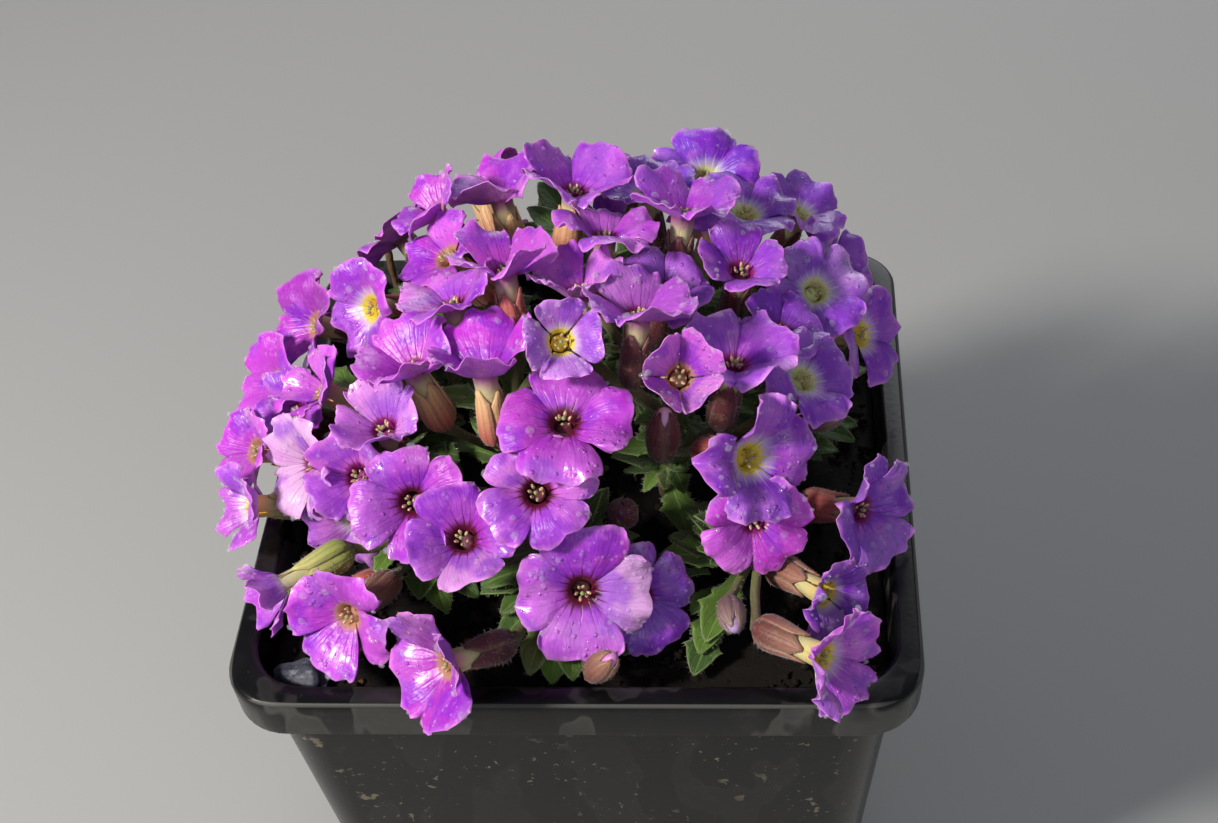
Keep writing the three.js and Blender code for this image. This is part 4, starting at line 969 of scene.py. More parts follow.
@dataclass(frozen=True)
class Wire:
    """A value in a material's node tree, with arithmetic."""

    painter: "Painter"
    socket: bpy.types.NodeSocket

    __add__, __radd__ = operator("ADD"), operator("ADD", flipped=True)
    __sub__, __rsub__ = operator("SUBTRACT"), operator("SUBTRACT", flipped=True)
    __mul__, __rmul__ = operator("MULTIPLY"), operator("MULTIPLY", flipped=True)
    __truediv__, __pow__ = operator("DIVIDE"), operator("POWER")


class Painter:
    """Makes one material, its nodes and its surface."""

    def __init__(self, name: str, **constants: float | tuple) -> None:
        """Start a material.

        Args:
            name: The material's name.
            constants: Values of the surface's sockets, by name with _ for spaces.
        """
        self.material = bpy.data.materials.new(name)
        self.material.use_nodes = True
        self.tree = self.material.node_tree
        self.surface = self.tree.nodes["Principled BSDF"]
        for socket, value in constants.items():
            self.surface.inputs[socket.replace("_", " ").title().replace("Ior", "IOR")].default_value = value

    def node(self, kind: str, inputs: dict[str | int, object] | None = None,
             **settings: object) -> bpy.types.Node:
        """Add a node with its settings, and link or set its inputs."""
        node = self.tree.nodes.new(kind)
        for name, value in settings.items():
            setattr(node, name, value)
        for key, value in (inputs or {}).items():
            self.feed(node.inputs[key], value)
        return node

    def feed(self, socket: bpy.types.NodeSocket, value: object) -> None:
        """Link a wire to a socket, or set its value."""
        if isinstance(value, Wire):
            self.tree.links.new(value.socket, socket)
        else:
            socket.default_value = value

    def maths(self, operation: str, *values: Wire | float) -> Wire:
        """A Math node."""
        node = self.node("ShaderNodeMath", dict(enumerate(values)), operation=operation)
        return Wire(self, node.outputs[0])

    def lines(self, value: Wire, sharp: float) -> Wire:
        """Lines where a value passes whole numbers, the finer the sharper."""
        return self.maths("ABSOLUTE", self.maths("FRACT", value) * 2 - 1) ** sharp

    def split(self, vector: Wire) -> list[Wire]:
        """The three numbers of a vector."""
        node = self.node("ShaderNodeSeparateXYZ", {0: vector})
        return [Wire(self, socket) for socket in node.outputs]

    def scaled(self, vector: Wire, factors: tuple[float, float, float]) -> Wire:
        """A vector with each of its numbers scaled."""
        node = self.node("ShaderNodeVectorMath", {0: vector, 1: factors}, operation="MULTIPLY")
        return Wire(self, node.outputs[0])

    def mix(self, share: Wire | float, a: Wire | Colour, b: Wire | Colour) -> Wire:
        """A colour between a and b."""
        a, b = ((*colour, 1) if isinstance(colour, tuple) else colour for colour in (a, b))
        node = self.node("ShaderNodeMix", {0: share, 6: a, 7: b}, data_type="RGBA")
        return Wire(self, node.outputs[2])

    def mottle(self, colour: Wire, tint: Colour, share: float, scale: float, detail: float, low: float,
               high: float) -> Wire:
        """A colour with patches of a tint, where a noise steps from low to high."""
        return self.mix(self.step(self.noise(scale, detail), low, high) * share, colour, tint)

    def step(self, value: Wire, low: float, high: float) -> Wire:
        """A soft step of a value, from 0 at low to 1 at high."""
        node = self.node("ShaderNodeMapRange", {0: value, 1: low, 2: high}, interpolation_type="SMOOTHSTEP")
        return Wire(self, node.outputs[0])

    def place(self) -> Wire:
        """Object coordinates."""
        return Wire(self, self.node("ShaderNodeTexCoord").outputs["Object"])

    def noise(self, scale: float, detail: float = 2, rough: float = 0.5, vector: Wire | None = None) -> Wire:
        """A noise about 0.5 in Object coordinates, or in another vector."""
        inputs = {"Vector": vector or self.place(), "Scale": scale, "Detail": detail, "Roughness": rough}
        return Wire(self, self.node("ShaderNodeTexNoise", inputs).outputs[0])

    def cells(self, scale: float) -> Wire:
        """The distance to the middle of the nearest cell."""
        node = self.node("ShaderNodeTexVoronoi", {"Vector": self.place(), "Scale": scale})
        return Wire(self, node.outputs["Distance"])

    def mark(self, name: str) -> tuple[Wire, Wire]:
        """The colour and the alpha of a colour attribute of the mesh."""
        node = self.node("ShaderNodeAttribute", attribute_name=name)
        return Wire(self, node.outputs["Color"]), Wire(self, node.outputs["Alpha"])

    def map_place(self) -> tuple[Wire, Wire, Wire]:
        """The mesh's own map: the vector, and its two numbers."""
        vector = Wire(self, self.node("ShaderNodeUVMap", uv_map="map").outputs[0])
        across, along, _ = self.split(vector)
        return vector, across, along

    def bump(self, height: Wire, depth: float) -> None:
        """Give the surface a relief of a depth in millimetres."""
        node = self.node("ShaderNodeBump", {"Strength": 1.0, "Distance": depth * MM, "Height": height})
        self.feed(self.surface.inputs["Normal"], Wire(self, node.outputs[0]))

    def set(self, **wires: Wire) -> "Painter":
        """Link wires to the surface's sockets, by name with _ for spaces."""
        for name, wire in wires.items():
            self.feed(self.surface.inputs[name.replace("_", " ").title()], wire)
        return self


def petal_material() -> Material:
    """Thin wet petals: veins that fan out from the claw, a pale margin that is partly a painted highlight,
    wet patches with a painted sheen, and the throat's own colour.
    """
    paint = Painter("petal", roughness=0.42, coat_roughness=0.15, sheen_weight=0.03,
                    subsurface_weight=0.3, subsurface_scale=0.0007, subsurface_radius=(1.0, 0.3, 1.0))
    tint, upper = paint.mark("tint")
    heart, eye = paint.mark("heart")
    vector, c, t = paint.map_place()
    warp = paint.noise(1.0, 2, vector=paint.scaled(vector, (5.0, 3.0, 1.0))) - 0.5
    place = c + warp * 0.09

    def ribs(count: float, sharp: float) -> Wire:
        """Lines along the petal, so many across it."""
        return paint.lines(place * count + 0.5, sharp)

    inner = paint.step(t, -0.02, 0.1)
    veins = paint.maths("MAXIMUM", ribs(7, 8) * inner * (1 - paint.step(t, 0.15, 0.7) * 0.66),
                        ribs(15, 6) * paint.step(t, 0.1, 0.4) * 0.5)
    veins = paint.maths("MAXIMUM", veins, ribs(31, 4) * paint.step(t, 0.35, 0.6) * 0.38)
    veins = veins * (1 - paint.step(t, 0.82, 1.0))
    colour = paint.mottle(tint, (0.25, 0.015, 0.60), 0.66, 170, 2, 0.46, 0.59)
    colour = paint.mottle(colour, (0.88, 0.24, 0.88), 0.26, 420, 3, 0.48, 0.72)
    colour = paint.mottle(colour, (0.92, 0.42, 0.95), 0.20, 1500, 2, 0.55, 0.75)
    # The pale margin is partly the petal's own paler edge and partly a painted highlight where the thin edge
    # catches light.
    edge = paint.step(t + paint.maths("ABSOLUTE", c - 0.5) * 0.2 + warp * 0.3, 0.86, 1.08)
    colour = paint.mix(edge * 0.55, colour, (0.90, 0.34, 0.86))
    colour = paint.mix(veins * 0.36, colour, (0.17, 0.006, 0.30))
    reach = t - veins * 0.13 + warp * 0.1
    green = Wire(paint, paint.node("ShaderNodeSeparateColor", {0: heart}).outputs[1])
    ring = (1 - paint.step(reach, eye, eye * 3.4)) * paint.step(green, 0.3, 0.5)
    colour = paint.mix(ring * 0.6, colour, (0.80, 0.68, 0.92))
    inside = 1 - paint.step(reach, eye * 0.35, eye * 1.5)
    colour = paint.mix(inside, colour, heart)
    colour = paint.mix((1 - upper) * 0.16, colour, (0.80, 0.42, 0.86))
    claw = (1 - paint.step(t, -0.12, 0.02)) * (1 - upper)
    colour = paint.mix(claw * 0.9, colour, (0.62, 0.56, 0.28))
    wet = paint.step(paint.noise(130, 2), 0.46, 0.62) * paint.step(t, 0.15, 0.45)
    # Painted sheen: the wet patches are also painted paler pink in the colour, besides their coat and lower
    # roughness.
    colour = paint.mix(wet * 0.10, colour, (0.95, 0.55, 0.95))
    beads = (1 - paint.step(paint.cells(1000), 0.16, 0.36)) * wet
    beads = beads * paint.step(paint.noise(640, 1), 0.48, 0.56)
    rough = 0.27 + paint.noise(900, 2) * 0.22 - beads * 0.30 - wet * 0.08
    relief = veins * -0.3 + paint.noise(1400, 3) * 0.45
    relief = relief + paint.noise(620, 2) * 0.6 + paint.noise(280, 2) * 1.1
    paint.bump(relief + beads * 1.3, 0.17)
    return paint.set(base_color=colour, roughness=rough, coat_weight=wet * 0.6 + beads * 0.4).material


def leaf_material() -> Material:
    """Small hairy leaves: a pale rib and side veins, a pale edge."""
    paint = Painter("leaf", roughness=0.5, sheen_weight=0.14, subsurface_weight=0.12,
                    subsurface_scale=0.0008, subsurface_radius=(0.6, 1.0, 0.3))
    tint, _ = paint.mark("tint")
    _, c, t = paint.map_place()
    aside = paint.maths("ABSOLUTE", c - 0.5)
    rib = 1 - paint.step(aside, 0.02, 0.07)
    side = paint.lines((t - aside * 0.8) * 5, 8) * paint.step(aside, 0.0, 0.1)
    colour = paint.mix(paint.noise(300, 3) * 0.6, tint, (0.03, 0.07, 0.015))
    colour = paint.mix(paint.maths("MAXIMUM", rib, side * 0.5) * 0.42, colour, (0.22, 0.33, 0.07))
    colour = paint.mix(paint.step(aside, 0.40, 0.5) * 0.3, colour, (0.28, 0.36, 0.12))
    paint.bump(paint.maths("MAXIMUM", rib, side) * -0.6 + paint.noise(1300, 3), 0.12)
    return paint.set(base_color=colour, roughness=0.42 + paint.noise(700, 2) * 0.25).material


def sepal_material() -> Material:
    """Calyces, stalks and stems: their own tint, streaked along their length and mottled."""
    paint = Painter("sepal", roughness=0.5, sheen_weight=0.18, subsurface_weight=0.1,
                    subsurface_scale=0.0006, subsurface_radius=(1.0, 0.4, 0.3))
    tint, _ = paint.mark("tint")
    _, c, _ = paint.map_place()
    streak = paint.lines(c * 4 + 0.5, 3)
    colour = paint.mix(streak * 0.3, tint, (0.05, 0.010, 0.012))
    colour = paint.mottle(colour, (0.50, 0.34, 0.14), 0.2, 900, 3, 0.5, 0.8)
    paint.bump(streak * -0.5 + paint.noise(1800, 2), 0.08)
    return paint.set(base_color=colour).material


def hair_material() -> Material:
    """Fine pale hairs."""
    return Painter("hair", base_color=(0.62, 0.55, 0.48, 1), roughness=0.4, sheen_weight=0.3).material


def anther_material() -> Material:
    """Cream anthers with grains of pollen."""
    paint = Painter("anther", roughness=0.75)
    grains = paint.step(paint.noise(4200, 2), 0.4, 0.62)
    paint.bump(grains, 0.05)
    return paint.set(base_color=paint.mix(grains, (0.42, 0.27, 0.12), (0.86, 0.70, 0.38))).material


def water_material() -> Material:
    """Clear drops: a thin film of light over what lies under them."""
    return Painter("water", base_color=(0.90, 0.80, 0.96, 1), roughness=0.03, alpha=0.15,
                   specular_ior_level=1.0).material


def plastic_material() -> Material:
    """Black moulded plastic with dried water on it, splashes of earth, and a painted highlight along the
    rim's top edge.
    """
    paint = Painter("pot_plastic", specular_ior_level=0.32)
    place = paint.place()
    *sides, height = paint.split(place)
    x, y = (paint.maths("ABSOLUTE", side * (2 / POT_WIDTH / MM)) for side in sides)
    dried = paint.noise(125, 2, 0.45, paint.scaled(place, (1.0, 1.0, 0.5)))
    patch = paint.step(dried, 0.51, 0.545)
    outline = patch * (1 - paint.step(dried, 0.54, 0.57))
    film = paint.noise(140, 5, 0.7)
    high = paint.step(height, 0.0725, 0.0742) * (1 - paint.step(height, 0.0793, 0.0798) * 0.8)
    stain_and_rim_highlight = patch * (0.2 + film * 0.7) + outline * 0.2 + paint.step(film, 0.45, 0.8) * 0.2
    stain_and_rim_highlight = stain_and_rim_highlight * (0.16 + high * 0.95)
    # Painted highlight: a pale line along the rim's top edge, put in with the dried-water stains.
    rim_highlight = paint.step(x ** 16 + y ** 16, 0.84, 0.89) * paint.step(height, 0.0794, 0.0797)
    stain_and_rim_highlight = paint.maths("MAXIMUM", stain_and_rim_highlight, rim_highlight * (0.6 + film * 1.2))
    colour = paint.mix(stain_and_rim_highlight, (0.0036, 0.0036, 0.0040), (0.070, 0.068, 0.061))
    low = 1 - paint.step(height, 0.066, 0.074)
    flakes = paint.step(paint.noise(330, 3, 0.6), 0.62, 0.66) * paint.step(paint.noise(48, 3), 0.52, 0.62)
    specks = paint.step(paint.noise(900, 2, 0.6), 0.66, 0.70) * paint.step(paint.noise(60, 2), 0.46, 0.60)
    splash = paint.maths("MAXIMUM", flakes, specks) * (0.05 + low * 0.8)
    colour = paint.mix(splash, colour, (0.20, 0.165, 0.11))
    paint.bump(splash + paint.noise(1200, 2) * 0.25, 0.06)
    rough = 0.20 + stain_and_rim_highlight * 0.22 + splash * 0.4 + film * 0.08
    return paint.set(base_color=colour, roughness=rough).material


def earth_material() -> Material:
    """Damp peat: nearly black, partly its own colour and partly painted shade from the pot's walls, crumbly,
    each bit with its own tint.
    """
    paint = Painter("peat", roughness=0.8, specular_ior_level=0.2)
    tint, _ = paint.mark("tint")
    colour = paint.mix(paint.noise(900, 4, 0.7), tint, (0.004, 0.003, 0.002))
    paint.bump(paint.noise(1400, 5, 0.75), 0.35)
    return paint.set(base_color=colour, roughness=0.62 + paint.noise(500, 2) * 0.3).material


def stone_material() -> Material:
    """Dark blue-grey stone with pale streaks."""
    paint = Painter("stone", roughness=0.45)
    streak = paint.step(paint.noise(260, 4, 0.7), 0.52, 0.62)
    streak = streak * (1 - paint.step(paint.noise(260, 4, 0.7), 0.62, 0.7))
    colour = paint.mix(paint.noise(500, 4), (0.020, 0.022, 0.034), (0.085, 0.09, 0.12))
    colour = paint.mix(streak * 0.7, colour, (0.30, 0.30, 0.34))
    paint.bump(paint.noise(900, 4, 0.7), 0.3)
    return paint.set(base_color=colour, roughness=0.35 + paint.noise(600, 2) * 0.3).material


def straw_material() -> Material:
    """Dry brown stalk."""
    paint = Painter("straw", roughness=0.6)
    colour = paint.mix(paint.noise(600, 4, 0.7), (0.05, 0.025, 0.012), (0.22, 0.13, 0.06))
    paint.bump(paint.noise(1500, 3), 0.2)
    return paint.set(base_color=colour).material


@dataclass(frozen=True)
class Finishes:
    """The finishes of the whole object."""

    petal: Material = field(default_factory=petal_material)
    leaf: Material = field(default_factory=leaf_material)
    sepal: Material = field(default_factory=sepal_material)
    hair: Material = field(default_factory=hair_material)
    anther: Material = field(default_factory=anther_material)
    water: Material = field(default_factory=water_material)
    plastic: Material = field(default_factory=plastic_material)
    earth: Material = field(default_factory=earth_material)
    stone: Material = field(default_factory=stone_material)
    straw: Material = field(default_factory=straw_material)


def unit_ball(rings: int, sides: int) -> tuple[Array, Array, Array]:
    """A ball of radius 1: its points, its four-sided faces and its triangles."""
    points = [[0.0, 0.0, 1.0]]
    for ring in range(1, rings):
        high = math.pi * ring / rings
        for side in range(sides):
            turn = 2 * math.pi * side / sides
            points.append([math.sin(high) * math.cos(turn), math.sin(high) * math.sin(turn), math.cos(high)])
    points.append([0.0, 0.0, -1.0])
    last = len(points) - 1
    at = [[1 + ring * sides + side % sides for side in range(sides + 1)] for ring in range(rings - 1)]
    quads = [[at[r][s], at[r + 1][s], at[r + 1][s + 1], at[r][s + 1]]
             for r in range(rings - 2) for s in range(sides)]
    caps = [[0, at[0][s], at[0][s + 1]] for s in range(sides)]
    caps += [[last, at[-1][s + 1], at[-1][s]] for s in range(sides)]
    return np.array(points), np.array(quads, int).reshape(-1, 4), np.array(caps, int)


class Weave:
    """Gathers the points, faces and colours of one piece, and makes its mesh."""

    def __init__(self) -> None:
        """Start empty."""
        self.count = 0
        self.points: list[Array] = []
        self.marks: dict[str, list[Array]] = {"tint": [], "heart": [], "map": []}
        self.faces: dict[int, list[Array]] = {4: [], 3: []}
        self.slots: dict[int, list[Array]] = {4: [], 3: []}

    def add(self, points: Array, faces: Iterable[Array], slot: int = 0,
            tint: object = (0.5, 0.5, 0.5, 1), heart: object = (0, 0, 0, 0),
            at: object = (0.5, 0.5)) -> None:
        """Add points and faces.

        Args:
            points: Places in millimetres.
            faces: Arrays of faces, with three or four columns.
            slot: Which material they have.
            tint, heart: A colour for all points or one for each.
            at: A place on the map for all points or one for each.
        """
        self.points.append(points)
        for name, value, width in (("tint", tint, 4), ("heart", heart, 4), ("map", at, 2)):
            self.marks[name].append(np.broadcast_to(np.asarray(value, float), (len(points), width)))
        for face in faces:
            if len(face):
                self.faces[face.shape[1]].append(face + self.count)
                self.slots[face.shape[1]].append(np.full(len(face), slot))
        self.count += len(points)

    def add_blade(self, grid: Array, thickness: Array, slot: int, tint: object,
                  heart: Array | None = None, at: Array | None = None) -> None:
        """Add a thin closed blade about a grid of places, rows by columns. A tint for each place has the
        alpha 1 on the upper side and 0 on the under side."""
        rows, columns = grid.shape[:2]
        half = grid_normal(grid) * thickness[..., None] / 2
        points = np.concatenate([(grid + half).reshape(-1, 3), (grid - half).reshape(-1, 3)])
        index = np.arange(rows * columns).reshape(rows, columns)
        front = grid_faces(rows, columns)
        under = rows * columns
        loop = np.concatenate([index[:, 0], index[-1, 1:], index[-2::-1, -1], index[0, -2:0:-1]])
        after = np.roll(loop, -1)
        rim = np.stack([after, loop, loop + under, after + under], -1)
        twice = {}
        for name, value, width in (("tint", tint, 4), ("heart", heart, 4), ("at", at, 2)):
            if value is not None:
                value = np.asarray(value, float)
                if value.ndim == 3:
                    value = np.concatenate([value.reshape(-1, width)] * 2)
                    if name == "tint":
                        value[under:, 3] = 0
                twice[name] = value
        self.add(points, (front, front[:, ::-1] + under, rim), slot, **twice)

    def add_tube(self, line: Array, radii: Sequence[float], sides: int, slot: int, tint: object) -> None:
        """Add a closed tube along a line, with a radius at each of its points."""
        along = unit(np.gradient(line, axis=0))
        aside = unit(np.cross(along[0], [0.31, 0.17, 0.93]))
        rings = []
        angles = np.arange(sides) * 2 * math.pi / sides
        for point, way, radius in zip(line, along, radii):
            aside = unit(aside - way * (aside @ way))
            over = np.cross(way, aside)
            rings.append(point + radius * (np.cos(angles)[:, None] * aside + np.sin(angles)[:, None] * over))
        points = np.concatenate([*rings, line[:1], line[-1:]])
        tint = np.asarray(tint, float)
        if tint.ndim == 2:
            tint = np.concatenate([np.repeat(tint, sides, axis=0), tint[:1], tint[-1:]])
        across = np.concatenate([np.tile(np.arange(sides) / sides, len(line)), [0.5, 0.5]])
        at = np.stack([across, np.full(len(points), 0.5)], -1)
        self.add(points, tube_faces(len(line), sides), slot, tint, at=at)

    def add_balls(self, ball: tuple, middles: Array, axes: Array, slot: int, tint: object) -> None:
        """Add many balls, each with its own three half axes."""
        shape, quads, caps = ball
        points = middles[:, None] + np.einsum("pi,nij->npj", shape, axes)
        start = (np.arange(len(middles)) * len(shape))[:, None, None]
        faces = [(start + face[None]).reshape(-1, face.shape[1]) for face in (quads, caps) if len(face)]
        tint = np.asarray(tint, float)
        if tint.ndim == 2:
            tint = np.repeat(tint, len(shape), axis=0)
        self.add(points.reshape(-1, 3), faces, slot, tint)

    def add_balls_on(self, body: Body, ball: tuple, middles: object, axes: object, slot: int,
                     tint: object) -> None:
        """Add balls whose places and half axes are given in a flower's own frame."""
        self.add_balls(ball, body.placed(np.array(middles)), body.turned(np.array(axes)), slot, tint)

    def add_hairs(self, roots: Array, ways: Array, widths: float, slot: int) -> None:
        """Add hairs: slim spikes, each with its own way from root to tip."""
        if not len(roots):
            return
        aside = unit(np.cross(ways, [0.3, 0.5, 0.81])) * widths
        over = np.cross(unit(ways), aside)
        turns = [(math.cos(a), math.sin(a)) for a in (0, 2 * math.pi / 3, 4 * math.pi / 3)]
        foot = roots - unit(ways) * 0.05
        points = np.stack([*(foot + aside * x + over * y for x, y in turns), roots + ways], 1)
        faces = np.array([[0, 1, 3], [1, 2, 3], [2, 0, 3], [2, 1, 0]])
        start = (np.arange(len(roots)) * 4)[:, None, None]
        self.add(points.reshape(-1, 3), ((start + faces[None]).reshape(-1, 3),), slot)

    def make(self, name: str, materials: Sequence[Material]) -> Object:
        """Make the piece's object."""
        mesh = bpy.data.meshes.new(name)
        points = np.concatenate(self.points) * MM
        faces = [np.concatenate(self.faces[size]) for size in (4, 3) if self.faces[size]]
        slots = np.concatenate([np.concatenate(self.slots[size]) for size in (4, 3) if self.slots[size]])
        corners = np.concatenate([face.ravel() for face in faces])
        sizes = np.concatenate([np.full(len(face), face.shape[1]) for face in faces])
        mesh.vertices.add(len(points))
        mesh.vertices.foreach_set("co", points.ravel())
        mesh.loops.add(len(corners))
        mesh.loops.foreach_set("vertex_index", corners)
        mesh.polygons.add(len(sizes))
        mesh.polygons.foreach_set("loop_start", np.concatenate([[0], np.cumsum(sizes)[:-1]]))
        for material in materials:
            mesh.materials.append(material)
        mesh.polygons.foreach_set("material_index", slots)
        mesh.polygons.foreach_set("use_smooth", np.ones(len(sizes), bool))
        for mark in ("tint", "heart"):
            layer = mesh.attributes.new(mark, "FLOAT_COLOR", "POINT")
            layer.data.foreach_set("color", np.concatenate(self.marks[mark]).ravel())
        layer = mesh.uv_layers.new(name="map")
        layer.uv.foreach_set("vector", np.concatenate(self.marks["map"])[corners].ravel())
        mesh.update(calc_edges=True)
        mesh.validate()
        return add_object(name, mesh)


def settle(piece: Object, node: str) -> None:
    """Let a finished piece stand for a CAD node, and log it."""
    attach(piece, "root")
    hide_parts(node)
    LOG.info("%s: %d faces", piece.name, len(piece.data.polygons))


MAGENTA = np.array([0.66, 0.050, 0.73])
VIOLET = np.array([0.240, 0.040, 0.70])
PINK_WHITE = np.array([0.92, 0.54, 0.88])
FRILLED = (8, 11, 12, 20, 21, 22, 41, 42, 44, 47, 51)


@dataclass
class Corolla:
    """The four petals of a flower with their claws, the anthers in its throat and the dew on it."""

    body: Body
    rows: int = 19
    columns: int = 21
    thickness: float = 0.24
    shoulder: float = 2.25
    claw_depth: float = 7.0
    claw_half_turn: float = 44
    throat_half: float = 1.25

    def __post_init__(self) -> None:
        """Start the flower's own chance."""
        self.chance = np.random.default_rng(100 + self.body.plan.number)

    def fold(self, index: int) -> float:
        """How far a petal is folded along its middle."""
        plan = self.body.plan
        some = 0.3 * np.random.default_rng([plan.number, index, 5]).uniform() ** 2
        return max(some, plan.folds[index] if isinstance(plan, Flower) else 0.0)

    def petal_grid(self, index: int) -> tuple[Array, Array, Array]:
        """A petal's middle surface.

        Args:
            index: Which petal.

        Returns:
            Its places in the flower's own frame, rows by columns, with t along it and c across it.
        """
        body = self.body
        chance = np.random.default_rng([body.plan.number, index])
        t = np.concatenate([np.linspace(0, 0.8, self.rows - 5) ** 0.9, [0.87, 0.92, 0.96, 0.985, 1.0]])
        t, c = np.meshgrid(t, np.linspace(-1, 1, self.columns), indexing="ij")
        phase = chance.uniform(0, 2 * math.pi, 5)
        power = 2 / self.shoulder
        ahead = np.cos(c * math.pi / 2).clip(0) ** power
        beside = np.sign(c) * np.abs(np.sin(c * math.pi / 2)) ** power
        nibble = 1 - 0.018 * t ** 4 * (1 + np.sin(9 * c + phase[0]))
        nibble = nibble - 0.012 * t ** 6 * np.sin(21 * c + phase[1])
        s = t * nibble * (PETAL_WIDEST + (1 - PETAL_WIDEST) * ahead)
        side = 0.15 + 0.455 * t * (2 - t)
        traits = body.petals[index]
        half_span = body.plan.span / 2 * traits.reach
        w = np.clip(beside, -1, 1)
        aside = beside * side * half_span * nibble
        fold = self.fold(index) * smooth(0.05, 0.5, t)
        trough = fold * np.abs(aside) * 0.85
        aside = aside * (1 - 0.42 * fold)
        grid = body.bent(index, s, w, aside, half_span - THROAT_RADIUS, half_span)
        frill = 2.2 if body.plan.number in FRILLED else 1.2
        ruffle = 0.050 * t ** 3 * np.sin(6.5 * c + phase[2])
        ruffle = ruffle + 0.024 * frill * t ** 5 * np.sin(13 * c + phase[3])
        crease = 0.06 * np.exp(-(c / 0.16) ** 2) * t * (1 - t)
        pucker = 0.016 * t * np.sin(15 * c + 3 * t + phase[4]) * np.cos(9 * t + phase[1])
        pucker = pucker + 0.011 * t * np.sin(11 * t + 8 * c + phase[0]) * np.sin(19 * c - 5 * t + phase[2])
        mound = chance.uniform(0.02, 0.10) * np.sin(math.pi * t) * (1 - 0.6 * w * w)
        droop = chance.uniform(0.01, 0.08) * t ** 4
        grid[..., 2] += half_span * (ruffle - crease + pucker + mound - droop) + 0.10 * aside * t
        grid[..., 2] += trough
        angle = (body.plan.turn + 90 * index) * DEGREE
        beyond = np.minimum(np.abs(aside), self.throat_half)
        inward = (THROAT_RADIUS - np.sqrt(THROAT_RADIUS ** 2 - beyond ** 2)) * (1 - t) ** 8
        grid[..., 0] -= inward * math.cos(angle)
        grid[..., 1] -= inward * math.sin(angle)
        claws = []
        for deep in (1.0, 0.66, 0.33):
            turn = angle + c[0] * self.claw_half_turn * DEGREE
            radius = 1.5 - 0.45 * deep
            drop = (self.claw_depth - THROAT_DEPTH) * deep
            low = np.full(self.columns, -THROAT_DEPTH - drop)
            wall = np.stack([radius * np.cos(turn), radius * np.sin(turn), low], -1)
            slip = grid[0] + [0, 0, -drop]
            claws.append(slip * (1 - deep ** 0.5) + wall * deep ** 0.5)
        full = np.concatenate([np.array(claws), grid])
        deep_t = np.array([-0.3, -0.2, -0.1])[:, None] * np.ones(self.columns)
        return full, np.concatenate([deep_t, t]), np.concatenate([c[:3], c])

    def colour(self, index: int, t: Array) -> Array:
        """A petal's colour at each of its places, with painted light and shade in it."""
        plan = self.body.plan
        tone = np.clip(plan.tone + self.chance.normal(0, 0.09), 0, 1)
        base = MAGENTA + (VIOLET - MAGENTA) * tone
        pale = plan.pale + self.chance.normal(0, 0.09)
        if isinstance(plan, Flower):
            pale += plan.lights[index]
        # Below 0, pale darkens the petal as painted shade; above 0 it lightens it towards pink-white, partly
        # the flower's own paleness and partly painted light. The lights add painted light and shade to
        # single petals.
        base = base * (1 + min(pale, 0)) + (PINK_WHITE - base) * np.clip(pale, 0, 1)
        # shade: darker towards the throat, partly the petal's own deeper colour and partly painted shade in
        # the cup.
        shade = (0.74 + 0.30 * np.clip(t, 0, 1))[..., None] * self.chance.uniform(0.9, 1.1)
        return np.concatenate([np.clip(base * shade, 0, 1), np.ones((*t.shape, 1))], -1)

    def build(self, weave: Weave) -> None:
        """Add the petals and the anthers."""
        body = self.body
        heart = np.array(body.plan.heart.value)
        for index in range(4):
            grid, t, c = self.petal_grid(index)
            thin = 1 - 0.6 * np.maximum(np.clip(t, 0, 1) ** 6, np.abs(c) ** 8)
            weave.add_blade(body.placed(grid), self.thickness * thin, 0, self.colour(index, t),
                            np.broadcast_to(heart, (*t.shape, 4)), np.stack([(c + 1) / 2, t], -1))
        self.add_anthers(weave)

    def add_anthers(self, weave: Weave) -> None:
        """Six anthers round a green stigma: four high, two low."""
        body = self.body
        high = -0.1 if body.plan.heart is Heart.DARK else -0.9
        middles, axes = [], []
        for k in range(6):
            angle = (body.plan.turn + 45 + 60 * k) * DEGREE + self.chance.normal(0, 0.12)
            out = np.array([math.cos(angle), math.sin(angle), 0])
            radius = 0.75 + self.chance.uniform(-0.08, 0.12)
            up = high if k % 3 else high - 0.6
            long = unit(out * self.chance.uniform(0.2, 0.8) + [0, 0, 1])
            wide = unit(np.cross(long, out))
            middles.append(out * radius + [0, 0, up])
            axes.append([wide * 0.24, np.cross(long, wide) * 0.18, long * 0.52])
        weave.add_balls_on(body, ANTHER_BALL, middles, axes, 1, (0.8, 0.7, 0.4, 1))
        stigma, plug = np.diag([0.3, 0.3, 0.3]), np.diag([1.2, 1.2, 0.3])
        weave.add_balls_on(body, ANTHER_BALL, [[0, 0, high + 0.1]], [stigma], 2, (0.30, 0.36, 0.12, 1))
        weave.add_balls_on(body, ANTHER_BALL, [[0, 0, -3.0]], [plug], 2, (*body.plan.heart.value[:3], 1))

